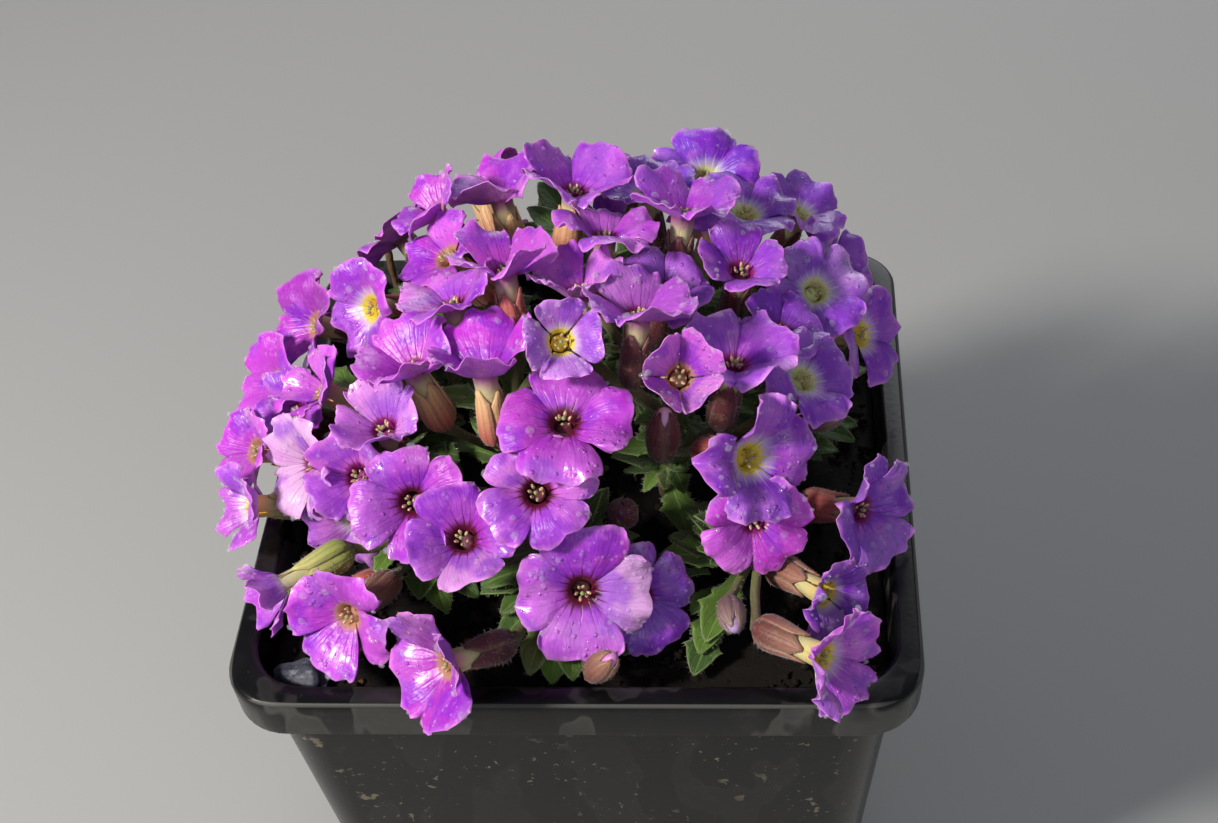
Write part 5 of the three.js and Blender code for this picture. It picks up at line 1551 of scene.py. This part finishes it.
    def dew(self, weave: Weave, most: int) -> None:
        """Add drops that sit on the petals' upper sides."""
        body, chance = self.body, np.random.default_rng(900 + self.body.plan.number)
        middles, axes = [], []
        for index in range(4):
            grid = self.petal_grid(index)[0]
            normal = grid_normal(grid)
            for _ in range(int(round(most * body.plan.dew * chance.uniform(0.4, 1.2)))):
                row = int(chance.integers(9, grid.shape[0] - 1))
                column = int(chance.integers(1, grid.shape[1] - 1))
                size = chance.choice([0.16, 0.22, 0.30, 0.42, 0.58], p=[0.3, 0.28, 0.22, 0.14, 0.06])
                up = normal[row, column] * (1 if normal[row, column, 2] > 0 else -1)
                aside = unit(np.cross(up, [0.2, 0.9, 0.1]))
                mix = chance.uniform(0, 1)
                spot = grid[row, column] * (1 - mix) + grid[row - 1, column - 1] * mix
                middles.append(spot + up * (self.thickness / 2 + size * 0.3))
                beside = np.cross(up, aside) * size * chance.uniform(0.85, 1.1)
                axes.append([aside * size, beside, up * size * 0.62])
        if middles:
            weave.add_balls_on(body, DROP_BALL, middles, axes, 0, (1, 1, 1, 1))


ANTHER_BALL = unit_ball(5, 7)
DROP_BALL = unit_ball(5, 8)
BIT_BALL = unit_ball(3, 5)


@dataclass
class Greens:
    """All that is green on a shoot: its stem and leaves, and the stalks and calyces that hang on it."""

    shoot: Shoot
    bodies: list[Body]
    number: int
    hairs_on_calyx: int = 210
    hairs_on_bud: int = 110
    hairs_on_stalk: int = 26
    hairs_on_leaf: int = 30
    sepal_half_turn: float = 47

    def __post_init__(self) -> None:
        """Start the shoot's own chance."""
        self.chance = np.random.default_rng(300 + self.number)

    def build(self, weave: Weave) -> None:
        """Add stem, leaves, stalks, calyces and buds."""
        self.add_stem(weave)
        for leaf in self.shoot.leaves:
            self.add_leaf(weave, leaf)
        for body in self.bodies:
            self.add_stalk(weave, body)
            if body.is_flower:
                self.add_calyx(weave, body)
            else:
                self.add_bud(weave, body)

    def add_stem(self, weave: Weave) -> None:
        """The stem, knotted along its length."""
        stops = np.linspace(0, 1, 22)
        corners = self.shoot.points
        lengths = np.concatenate([[0], np.cumsum(np.linalg.norm(np.diff(corners, axis=0), axis=1))])
        line = np.stack([np.interp(stops * lengths[-1], lengths, corners[:, k]) for k in range(3)], -1)
        radii = SHOOT_RADIUS * (1 - 0.2 * stops) * (1 + 0.07 * np.sin(stops * 40 + self.number))
        low, high = np.array([0.10, 0.055, 0.03, 1]), np.array([0.11, 0.13, 0.035, 1])
        weave.add_tube(line, radii, 9, 1, low + (high - low) * stops[:, None])

    def add_stalk(self, weave: Weave, body: Body) -> None:
        """The stalk from a calyx or bud to the stem, hairy."""
        stops = np.linspace(0, 1, 12)
        foot, bend, hold = body.stalk
        t = stops[:, None]
        line = np.where(t < 0.5, foot + (bend - foot) * 2 * t, bend + (hold - bend) * (2 * t - 1))
        soft = (1 - t) ** 2 * foot + 2 * t * (1 - t) * bend + t * t * hold
        line = 0.65 * line + 0.35 * soft
        line = np.concatenate([foot[None] + body.axis * 0.8, line])
        radii = np.concatenate([[1.0], [0.95, 0.78], np.full(10, STALK_RADIUS)])
        dark, light = np.array([0.13, 0.075, 0.035, 1]), np.array([0.15, 0.19, 0.05, 1])
        share = np.concatenate([[0], stops])[:, None]
        weave.add_tube(line, radii, 7, 1, light + (dark - light) * (1 - share) * 0.7)
        count = self.hairs_on_stalk
        spots = self.chance.uniform(0, 1, count)
        centre = np.stack([np.interp(spots, stops, line[1:, k]) for k in range(3)], -1)
        way = unit(self.chance.normal(size=(count, 3)))
        along = unit(hold - foot)
        way = unit(way - along * (way @ along)[:, None])
        length = self.chance.uniform(0.3, 0.6, (count, 1))
        weave.add_hairs(centre + way * STALK_RADIUS * 0.95, way * length, 0.035, 2)

    def sepal(self, weave: Weave, body: Body, angle: float, profile: Callable, long: float, foot: float,
              colours: tuple[Colour, Colour]) -> None:
        """Add one sepal of a calyx or a bud, wrapped round the body's axis.

        Args:
            weave: What it is added to.
            body: Whose sepal it is.
            angle: Where round the axis it stands.
            profile: The calyx's radius at a share of the way from foot to tip.
            long: Length from foot to tip.
            foot: Where its foot stands along the axis.
            colours: Low on it and at its tip.
        """
        u, v = np.meshgrid(np.linspace(0, 1, 10), np.linspace(-1, 1, 6), indexing="ij")
        spread = self.sepal_half_turn * DEGREE * (1 - 0.9 * smooth(0.7, 1.0, u) ** 1.5)
        bulge = 1 + 0.07 * np.cos(v * math.pi / 2)
        radius = profile(u) * bulge
        turn = angle + v * spread
        grid = np.stack([radius * np.cos(turn), radius * np.sin(turn), foot + long * u], -1)
        low, tip = (np.array([*colour, 1]) for colour in colours)
        share = smooth(0.1, 1.0, u)[..., None]
        tint = (low + (tip - low) * share) * self.chance.uniform(0.85, 1.15)
        edge = smooth(0.75, 1.0, np.abs(v))[..., None]
        tint = tint * (1 - 0.2 * edge) + np.array([0.42, 0.30, 0.20, 1]) * 0.2 * edge
        tint[..., 3] = 1
        weave.add_blade(body.placed(grid), np.full(u.shape, 0.3), 1, tint, at=np.stack([(v + 1) / 2, u], -1))

    def add_hair_coat(self, weave: Weave, body: Body, profile: Callable, long: float, foot: float,
                      count: int) -> None:
        """Hairs all over a calyx or a bud, leaning towards its tip."""
        u = self.chance.uniform(0.03, 0.97, count)
        turn = self.chance.uniform(0, 2 * math.pi, count)
        out = np.stack([np.cos(turn), np.sin(turn), np.zeros(count)], -1)
        roots = out * (profile(u) * 1.04)[:, None] + np.stack([0 * u, 0 * u, foot + long * u], -1)
        ways = unit(out + [0, 0, 0.5] + self.chance.normal(0, 0.3, (count, 3)))
        ways *= self.chance.uniform(0.25, 0.62, (count, 1))
        weave.add_hairs(body.placed(roots), body.turned(ways), 0.038, 2)

    def add_calyx(self, weave: Weave, body: Body) -> None:
        """Four sepals round the claws, the outer two swollen at the foot."""
        foot = -(TUBE_LENGTH + 0.3 + CALYX_LENGTH)
        colours = body.plan.sepals.value
        for k in range(4):
            swell = 0.22 if k % 2 else 0.0

            def profile(u: Array, swell: float = swell) -> Array:
                """The calyx's radius from foot to mouth."""
                low = np.sin(np.clip(u / 0.26, 0, 1) * math.pi / 2) ** 0.8
                return 0.85 + (CALYX_RADIUS - 0.85 + swell) * low - (0.28 + swell) * smooth(0.3, 1, u)

            angle = (body.plan.turn + 45 + 90 * k) * DEGREE
            long = CALYX_LENGTH + self.chance.uniform(-0.1, 0.7)
            self.sepal(weave, body, angle, profile, long, foot, colours)
        self.add_hair_coat(weave, body, profile, CALYX_LENGTH, foot, self.hairs_on_calyx)

    def add_bud(self, weave: Weave, body: Body) -> None:
        """Four sepals closed round the petals, whose tip shows."""
        plan = body.plan
        size = plan.size

        def profile(u: Array) -> Array:
            """The bud's radius from foot to tip."""
            return size * np.interp(u, [0, 0.12, 0.38, 0.62, 0.84, 1], [0.95, 1.7, 2.12, 2.05, 1.45, 0.75])

        long, foot = 7.4 * size, -8 * size
        for k in range(4):
            self.sepal(weave, body, (45 + 90 * k) * DEGREE, profile, long, foot, plan.sepals.value)
        petals = np.diag([1.45, 1.45, 2.9]) * size
        weave.add_balls_on(body, DROP_BALL, [[0, 0, -3 * size]], [petals], 1, (*plan.tip, 1))
        self.add_hair_coat(weave, body, profile, long, foot, self.hairs_on_bud)

    def add_leaf(self, weave: Weave, leaf: Leaf) -> None:
        """A spoon-shaped leaf with teeth, hairy at its edge."""
        stops, widths = LEAF_STOPS, LEAF_WIDTHS
        s, v = np.meshgrid(stops, np.linspace(-1, 1, 7), indexing="ij")
        phase = self.chance.uniform(0, 2 * math.pi)
        w = v * widths[:, None]
        grid = leaf.point(s, w)
        wave = 0.05 * leaf.width * np.sin(7 * s + phase + 2 * v) * np.abs(v)
        grid = grid + leaf.normal * wave[..., None]
        bright = self.chance.uniform(0.15, 1.0)
        # A given brightness, as for the low leaves, is partly painted light and shade.
        if leaf.bright is not None:
            bright = leaf.bright
        # Painted shade: the lower a leaf stands in the dome, the darker it is.
        lit = np.clip((leaf.base[2] - 76) / 26, 0, 1)
        base = np.array([0.040, 0.100, 0.011]) * (1 - bright) + np.array([0.17, 0.31, 0.026]) * bright
        base = base * (0.75 + 0.35 * lit)
        purple = self.chance.uniform(0, 1) < 0.14
        if purple:
            base = base * 0.6 + np.array([0.05, 0.01, 0.02])
        thick = 0.34 * (1 - 0.5 * np.abs(v) ** 3)
        weave.add_blade(grid, thick, 0, (*base, 1), at=np.stack([(v + 1) / 2, s], -1))
        count = self.hairs_on_leaf
        at = self.chance.uniform(0.15, 1, count)
        sign = self.chance.choice([-1, 1], count)
        half = np.interp(at, stops, widths)
        roots = leaf.point(at, sign * half)
        ways = leaf.aside * sign[:, None] + leaf.along * 0.5 + self.chance.normal(0, 0.25, (count, 3))
        weave.add_hairs(roots, unit(ways) * self.chance.uniform(0.35, 0.7, (count, 1)), 0.03, 2)
        inner = self.chance.integers(0, 2, count) * 1.0
        roots = leaf.point(at, sign * half * self.chance.uniform(0, 0.8, count))
        ways = leaf.normal + self.chance.normal(0, 0.35, (count, 3))
        weave.add_hairs(roots[inner > 0], (unit(ways) * 0.4)[inner > 0], 0.028, 2)


class Plant:
    """The whole plant: flowers, buds, shoots and leaves, grown as the part has them."""

    def __init__(self, finishes: Finishes) -> None:
        """Grow the plan."""
        self.finishes = finishes
        self.shoots = [Shoot(*shoot) for shoot in SHOOTS]
        self.bodies = [Body(plan) for plan in (*SEEN_FLOWERS, *FAR_FLOWERS, *BUDS)]
        crowd = Crowd(self.bodies)
        crowd.make_room()
        crowd.hang(self.shoots)
        crowd.clear_stalks()
        foliage = Foliage(crowd, self.shoots)
        foliage.grow()
        foliage.fill_low()
        foliage.fill(LOW_SKIRT)
        foliage.fill(FINE_LEAVES)
        foliage.clear_petals()
        LOG.info("plan grown: %d leaves", sum(len(shoot.leaves) for shoot in self.shoots))

    def build(self) -> None:
        """Make the pieces: one for each set of touching flowers, one for each shoot, and the dew."""
        flowers = {body.plan.number: body for body in self.bodies if body.is_flower}
        petals = (self.finishes.petal, self.finishes.anther, self.finishes.sepal)
        for node in sorted(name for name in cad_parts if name.startswith("bloom_")):
            weave = Weave()
            for number in node.split("_")[1:]:
                Corolla(flowers[int(number)]).build(weave)
            settle(weave.make(node.replace("bloom", "petals"), petals), node)
        greens = (self.finishes.leaf, self.finishes.sepal, self.finishes.hair)
        for number, shoot in enumerate(self.shoots):
            weave = Weave()
            hung = [body for body in self.bodies if body.shoot == number]
            Greens(shoot, hung, number).build(weave)
            settle(weave.make(f"greens_{number + 1:02d}", greens), f"shoot_{number + 1:02d}")
        weave = Weave()
        for body in flowers.values():
            Corolla(body).dew(weave, most=17)
        dew = weave.make("dew", (self.finishes.water,))
        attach(dew, "root")
        LOG.info("dew: %d faces", len(dew.data.polygons))


def body_half(z: float) -> float:
    """Half the width of the pot's body at a height."""
    return BODY_TOP_HALF - BODY_TAPER * (POT_HEIGHT - RIM_DEPTH - z)


def rounded_square(half: float, corner: float, z: float, steps: int = 10) -> Array:
    """A ring of points round a square with rounded corners."""
    points = []
    for quarter in range(4):
        start = quarter * math.pi / 2
        middle = (half - corner) * math.sqrt(2)
        for i in range(steps + 1):
            angle = start + i / steps * math.pi / 2
            points.append([middle * math.cos(start + math.pi / 4) + corner * math.cos(angle),
                           middle * math.sin(start + math.pi / 4) + corner * math.sin(angle), z])
    return np.array(points)


def body_ring(z: float, inset: float = 0.0) -> Array:
    """The ring of the pot's body at a height, or one inside it."""
    corner = BASE_CORNER + (BODY_CORNER - BASE_CORNER) * z / POT_HEIGHT - inset * 0.6
    return rounded_square(body_half(z) - inset, corner, z)


def loft(rings: Sequence[Array]) -> tuple[Array, list[list[int]]]:
    """The points and faces of a closed skin through rings, capped at both ends."""
    sides = len(rings[0])
    points = np.concatenate(rings)
    faces = [list(range(sides))[::-1]]
    for ring in range(len(rings) - 1):
        for i in range(sides):
            j = (i + 1) % sides
            a, b = ring * sides, (ring + 1) * sides
            faces.append([a + i, a + j, b + j, b + i])
    faces.append([(len(rings) - 1) * sides + i for i in range(sides)])
    return points, faces


def solid(name: str, points: Array, faces: list[list[int]]) -> Object:
    """An object from points in millimetres and faces."""
    mesh = bpy.data.meshes.new(name)
    mesh.from_pydata((np.asarray(points) * MM).tolist(), [], faces)
    return add_object(name, mesh)


def select_only(piece: Object) -> None:
    """Make one object the selected and active one."""
    bpy.ops.object.select_all(action="DESELECT")
    piece.select_set(True)
    bpy.context.view_layer.objects.active = piece


def combine(piece: Object, other: Object, operation: str) -> None:
    """Join, cut or meet a piece with another, which is used up."""
    select_only(piece)
    modifier = piece.modifiers.new("combine", "BOOLEAN")
    modifier.object = other
    modifier.operation = operation
    modifier.solver = "EXACT"
    bpy.ops.object.modifier_apply(modifier=modifier.name)
    bpy.data.objects.remove(other)


CORNERS = ((1, 1), (-1, 1), (-1, -1), (1, -1))


@dataclass
class Pot:
    """The moulded pot: its skin from the foot over the rim to the floor, with four raised drains."""

    lip: float = 1.2
    smooth_under: float = 38

    def skin(self) -> list[Array]:
        """The rings of the moulding."""
        half, foot, top = POT_WIDTH / 2, POT_HEIGHT - RIM_DEPTH, POT_HEIGHT
        inner = body_half(top) - WALL
        rim = [
            (half - 1.1, top - self.lip), (half - 1.15, foot + 0.25), (half - 1.02, foot + 0.04),
            (half - 0.8, foot), (half - 0.5, foot), (half - 0.3, foot + 0.1), (half - 0.24, foot + 0.4),
            (half - 0.02, top - 1.5), (half, top - 1.0), (half - 0.06, top - 0.6), (half - 0.2, top - 0.26),
            (half - 0.42, top - 0.06), (half - 0.7, top), (inner + 0.75, top), (inner + 0.4, top - 0.07),
            (inner + 0.14, top - 0.28), (inner + 0.02, top - 0.6),
        ]
        rings = [body_ring(0, 0.7), body_ring(0.12, 0.3), body_ring(0.4, 0.06), body_ring(0.9)]
        rings += [body_ring(z) for z in (20, 40, 60, top - self.lip)]
        rings += [rounded_square(h, RIM_CORNER - 0.3 if h > half - 0.7 else BODY_CORNER, z) for h, z in rim]
        rings += [body_ring(z, WALL) for z in (top - 1.2, 60, 40, 20, FLOOR_THICKNESS + 0.5)]
        rings += [body_ring(FLOOR_THICKNESS, WALL + 0.5)]
        return rings

    def build(self) -> Object:
        """Loft the moulding and cut its drains."""
        pot = solid("pot_fine", *loft(self.skin()))
        place = body_half(0) - 1.5 - DRAIN_SPAN / 2
        for sx, sy in CORNERS:
            high = DRAIN_LIFT + FLOOR_THICKNESS
            raised = self.block("raised", DRAIN_SPAN + 3, high, (sx * place, sy * place, high / 2))
            outside = solid("outside", *loft([body_ring(0, 0.8), body_ring(POT_HEIGHT - 2, 0.3)]))
            combine(raised, outside, "INTERSECT")
            combine(pot, raised, "UNION")
        for sx, sy in CORNERS:
            middle = (sx * (place + 2), sy * (place + 2), 0)
            pocket = self.block("pocket", DRAIN_SPAN, 2 * DRAIN_LIFT, middle)
            inside = solid("inside", *loft([body_ring(-1, 2.6), body_ring(POT_HEIGHT - 2, 2.6)]))
            combine(pocket, inside, "INTERSECT")
            combine(pot, pocket, "DIFFERENCE")
            hole = (sx * (place + 0.5) * MM, sy * (place + 0.5) * MM, 0)
            bpy.ops.mesh.primitive_cylinder_add(
                vertices=24, radius=DRAIN_RADIUS * MM, depth=0.012, location=hole)
            combine(pot, bpy.context.active_object, "DIFFERENCE")
        select_only(pot)
        bpy.ops.object.shade_smooth_by_angle(angle=math.radians(self.smooth_under))
        return pot

    @staticmethod
    def block(name: str, span: float, high: float, place: Sequence[float]) -> Object:
        """A square block."""
        bpy.ops.mesh.primitive_cube_add(size=1, location=[p * MM for p in place])
        block = bpy.context.active_object
        block.name = name
        block.scale = (span * MM, span * MM, high * MM)
        bpy.ops.object.transform_apply(location=True, rotation=True, scale=True)
        return block

    def dress(self, pot: Object, finishes: Finishes) -> None:
        """Give it its plastic."""
        pot.data.materials.clear()
        pot.data.materials.append(finishes.plastic)
        settle(pot, "pot")


def soil_height(x: Array, y: Array) -> Array:
    """The soil's surface at a place."""
    return SOIL_LEVEL + SOIL_BUMP * (np.sin(x * 0.31 + 1.3) * np.cos(y * 0.27 - 0.4)
                                     + 0.5 * np.sin(x * 0.83 - y * 0.61))


@dataclass
class Soil:
    """The peat: a crumbly surface with loose bits of peat, bark and straw on it."""

    rings: int = 44
    bits: int = 3400
    straw_count: int = 70

    def build(self, finishes: Finishes) -> Object:
        """Make the body of the soil and scatter the bits."""
        weave = Weave()
        chance = np.random.default_rng(77)
        skin = CLEARANCE + WALL
        edge = body_ring(SOIL_LEVEL, skin)
        edge = np.concatenate([edge + (np.roll(edge, -1, 0) - edge) * share for share in (0, 0.34, 0.67)], 1)
        edge = edge.reshape(-1, 3)
        shares = np.linspace(1, 0.02, self.rings)
        top = edge[None] * shares[:, None, None]
        top[..., 2] = soil_height(top[..., 0], top[..., 1])
        phase = chance.uniform(0, 6.28, 8)
        x, y = top[..., 0], top[..., 1]
        for k, (size, high) in enumerate(((1.1, 0.35), (1.9, 0.22), (3.1, 0.14), (4.7, 0.1))):
            top[..., 2] += high * np.sin(size * x + phase[k] + 1.3 * np.sin(size * 0.7 * y)) * np.cos(
                size * y + phase[k + 4] + 1.1 * np.sin(size * 0.8 * x))
        top[0, :, 2] = SOIL_LEVEL - 1.2
        low = np.stack([np.where(axis == 2, 0, edge[:, axis]) for axis in range(3)], -1)
        floor = FLOOR_THICKNESS + DRAIN_LIFT + 0.7
        foot = low * (body_half(floor) - skin) / (body_half(SOIL_LEVEL) - skin)
        foot[:, 2] = floor
        middle = np.array([[0, 0, floor], [0, 0, top[-1, :, 2].mean()]])
        grid = np.concatenate([foot[None], top])
        points = np.concatenate([grid.reshape(-1, 3), middle])
        # The soil's tint is kept very dark: partly the damp peat's own colour, partly painted shade from the
        # pot's walls.
        weave.add(points, tube_faces(*grid.shape[:2]), 0, (0.011, 0.0075, 0.006, 1))
        self.scatter(weave, chance)
        return weave.make("soil_fine", (finishes.earth,))

    def scatter(self, weave: Weave, chance: np.random.Generator) -> None:
        """Scatter crumbs, then a few bits of bark and straw."""
        half = body_half(SOIL_LEVEL) - WALL - CLEARANCE - 0.8
        place = chance.uniform(-half, half, (self.bits, 2))
        outward = np.abs(place).max(1) / half
        keep = (chance.uniform(0, 1, self.bits) < 0.25 + 0.75 * smooth(0.4, 0.75, outward))
        corner = np.hypot(*np.maximum(np.abs(place) - (half - 6), 0).T) < 6
        place = place[keep & corner]
        count = len(place)
        size = chance.gamma(3.0, 0.13, count).clip(0.15, 1.25)
        middles = np.column_stack([place, soil_height(*place.T) + size * 0.25 + 0.1])
        turn = np.linalg.qr(chance.normal(size=(count, 3, 3)))[0]
        stretch = chance.uniform(0.55, 1.5, (count, 3, 1)) * size[:, None, None]
        dark = chance.uniform(0.3, 1.0, (count, 1))
        # The crumbs are kept dark too, partly as painted shade.
        tint = np.concatenate([dark * [0.030, 0.019, 0.013], np.ones((count, 1))], 1)
        bark = chance.uniform(0, 1, count) < 0.03
        tint[bark, :3] = [0.24, 0.10, 0.035]
        pale = chance.uniform(0, 1, count) < 0.015
        tint[pale, :3] = [0.36, 0.28, 0.18]
        weave.add_balls(BIT_BALL, middles, turn * stretch, 0, tint)
        self.straws(weave, chance, half)

    def straws(self, weave: Weave, chance: np.random.Generator, half: float) -> None:
        """Lay short straws and fibres on the soil."""
        for _ in range(self.straw_count):
            middle = np.append(chance.uniform(-half + 3, half - 3, 2), 0)
            turn = chance.uniform(0, math.pi)
            long = chance.uniform(1.2, 4.0)
            stops = np.linspace(-0.5, 0.5, 5)
            line = middle + np.outer(stops * long, [math.cos(turn), math.sin(turn), 0])
            line[:, :2] += np.outer(stops ** 2, chance.uniform(-1.5, 1.5, 2))
            line[:, 2] = soil_height(line[:, 0], line[:, 1]) + 0.35 + chance.uniform(0, 0.4)
            light = chance.uniform(0.3, 1.0)
            tint = (0.34 * light, 0.22 * light, 0.11 * light, 1)
            weave.add_tube(line, np.full(5, chance.uniform(0.07, 0.2)), 4, 0, tint)


@dataclass
class Stone:
    """The stone in the front left corner."""

    half_axes: tuple[float, float, float] = (3.6, 2.3, 1.5)
    turn: float = -12 * DEGREE
    flat_under: float = -0.9
    lift: float = 1.45

    def build(self, finishes: Finishes) -> None:
        """Shape a ball into a worn flint."""
        place = EYE.point_seen((284, 694), -3.4) + [2.2, 3, 0]
        bpy.ops.object.select_all(action="DESELECT")
        bpy.ops.mesh.primitive_ico_sphere_add(subdivisions=5, radius=1)
        stone = bpy.context.active_object
        stone.name = "stone_fine"
        points = np.array([vertex.co for vertex in stone.data.vertices])
        x, y, z = points.T
        rough = 1 + 0.13 * np.sin(5 * x + 2 * y) + 0.1 * np.cos(6 * z - 3 * y)
        chips = 0.025 * np.abs(np.sin(9 * x + 4 * z + 2)) + 0.02 * np.sin(13 * y - 7 * x)
        chips = chips + 0.012 * np.sin(23 * z + 17 * x)
        points = points * self.half_axes * (rough - 0.02 + chips)[:, None]
        points[:, 2] = np.maximum(points[:, 2], self.flat_under)
        cos, sin = math.cos(self.turn), math.sin(self.turn)
        x, y = points[:, 0].copy(), points[:, 1].copy()
        points[:, 0], points[:, 1] = x * cos - y * sin, x * sin + y * cos
        points += [place[0], place[1], soil_height(place[0], place[1]) + self.lift]
        stone.data.vertices.foreach_set("co", (points * MM).ravel())
        stone.data.update()
        stone.data.shade_smooth()
        stone.data.materials.append(finishes.stone)
        settle(stone, "stone")


@dataclass
class DryStalk:
    """The dry stalk that curls up behind the flowers."""

    radius: float = 0.6

    def build(self, finishes: Finishes) -> None:
        """Sweep it along its curl."""
        foot = np.array([-31, 34, SOIL_LEVEL])
        line = np.array([
            foot + [1, -1, -4.5], foot, [-32.5, 35.5, 82], [-33, 36, 88], [-32.6, 36.6, 91.5], [-31, 37, 93],
            [-29.4, 37, 91.6], [-28.2, 37, 88.8], [-27.4, 37.4, 86.2],
        ])
        stops = np.linspace(0, len(line) - 1, 61)
        fine = []
        for stop in stops:
            i = min(int(stop), len(line) - 2)
            u = stop - i
            a, b, c, d = (line[min(max(k, 0), len(line) - 1)] for k in (i - 1, i, i + 1, i + 2))
            fine.append(0.5 * (2 * b + (c - a) * u + (2 * a - 5 * b + 4 * c - d) * u * u
                               + (3 * b - a - 3 * c + d) * u ** 3))
        weave = Weave()
        knots = 1 + 0.12 * np.sin(stops * 5) + 0.1 * np.sin(stops * 13)
        radii = self.radius * knots * np.linspace(1, 0.75, 61)
        weave.add_tube(np.array(fine), radii, 10, 0, (0.2, 0.12, 0.06, 1))
        settle(weave.make("dry_stalk_fine", (finishes.straw,)), "dry_stalk")


LAMP_AIM = (0, 0, 0.08)


@dataclass
class Studio:
    """A pale floor, soft lamps and the camera."""

    key_power: float = 4.5
    fill_power: float = 0.85
    back_power: float = 1.2
    world: float = 0.18

    def build(self) -> None:
        """Set the stage."""
        bpy.ops.object.select_all(action="DESELECT")
        bpy.ops.mesh.primitive_plane_add(size=4, location=(0, 0, -0.0002))
        floor = bpy.context.active_object
        floor.name = "floor"
        paint = Painter("floor", base_color=(0.42, 0.415, 0.405, 1), roughness=0.85)
        floor.data.materials.append(paint.material)
        self.lamp("key", (-0.38, -0.28, 0.49), 0.10, self.key_power, (1.0, 0.965, 0.91))
        self.lamp("fill", (0.22, -0.62, 0.46), 0.5, self.fill_power, (0.86, 0.92, 1.0))
        self.lamp("back", (0.10, 0.60, 0.40), 0.4, self.back_power, (0.96, 0.97, 1.0))
        world = bpy.data.worlds.new("studio")
        world.use_nodes = True
        world.node_tree.nodes["Background"].inputs[0].default_value = (0.80, 0.88, 1.0, 1)
        world.node_tree.nodes["Background"].inputs[1].default_value = self.world
        bpy.context.scene.world = world
        bpy.context.scene.view_settings.view_transform = "Standard"
        EYE.set_camera()

    @staticmethod
    def lamp(name: str, place: Sequence[float], size: float, power: float, colour: Colour) -> None:
        """A square area lamp that looks at the flowers."""
        data = bpy.data.lights.new(name, "AREA")
        data.size = size
        data.energy = power
        data.color = colour
        lamp = add_object(name, data)
        lamp.location = place
        lamp.rotation_euler = (Vector(LAMP_AIM) - Vector(place)).to_track_quat("-Z", "Y").to_euler()


def main() -> None:
    """Build the object, piece by piece, and its stage."""
    logging.basicConfig(level=logging.INFO, format="%(message)s")
    bpy.ops.object.select_all(action="DESELECT")
    finishes = Finishes()
    pot = Pot()
    pot.dress(pot.build(), finishes)
    settle(Soil().build(finishes), "soil")
    Stone().build(finishes)
    DryStalk().build(finishes)
    Plant(finishes).build()
    Studio().build()


if __name__ == "__main__":
    main()
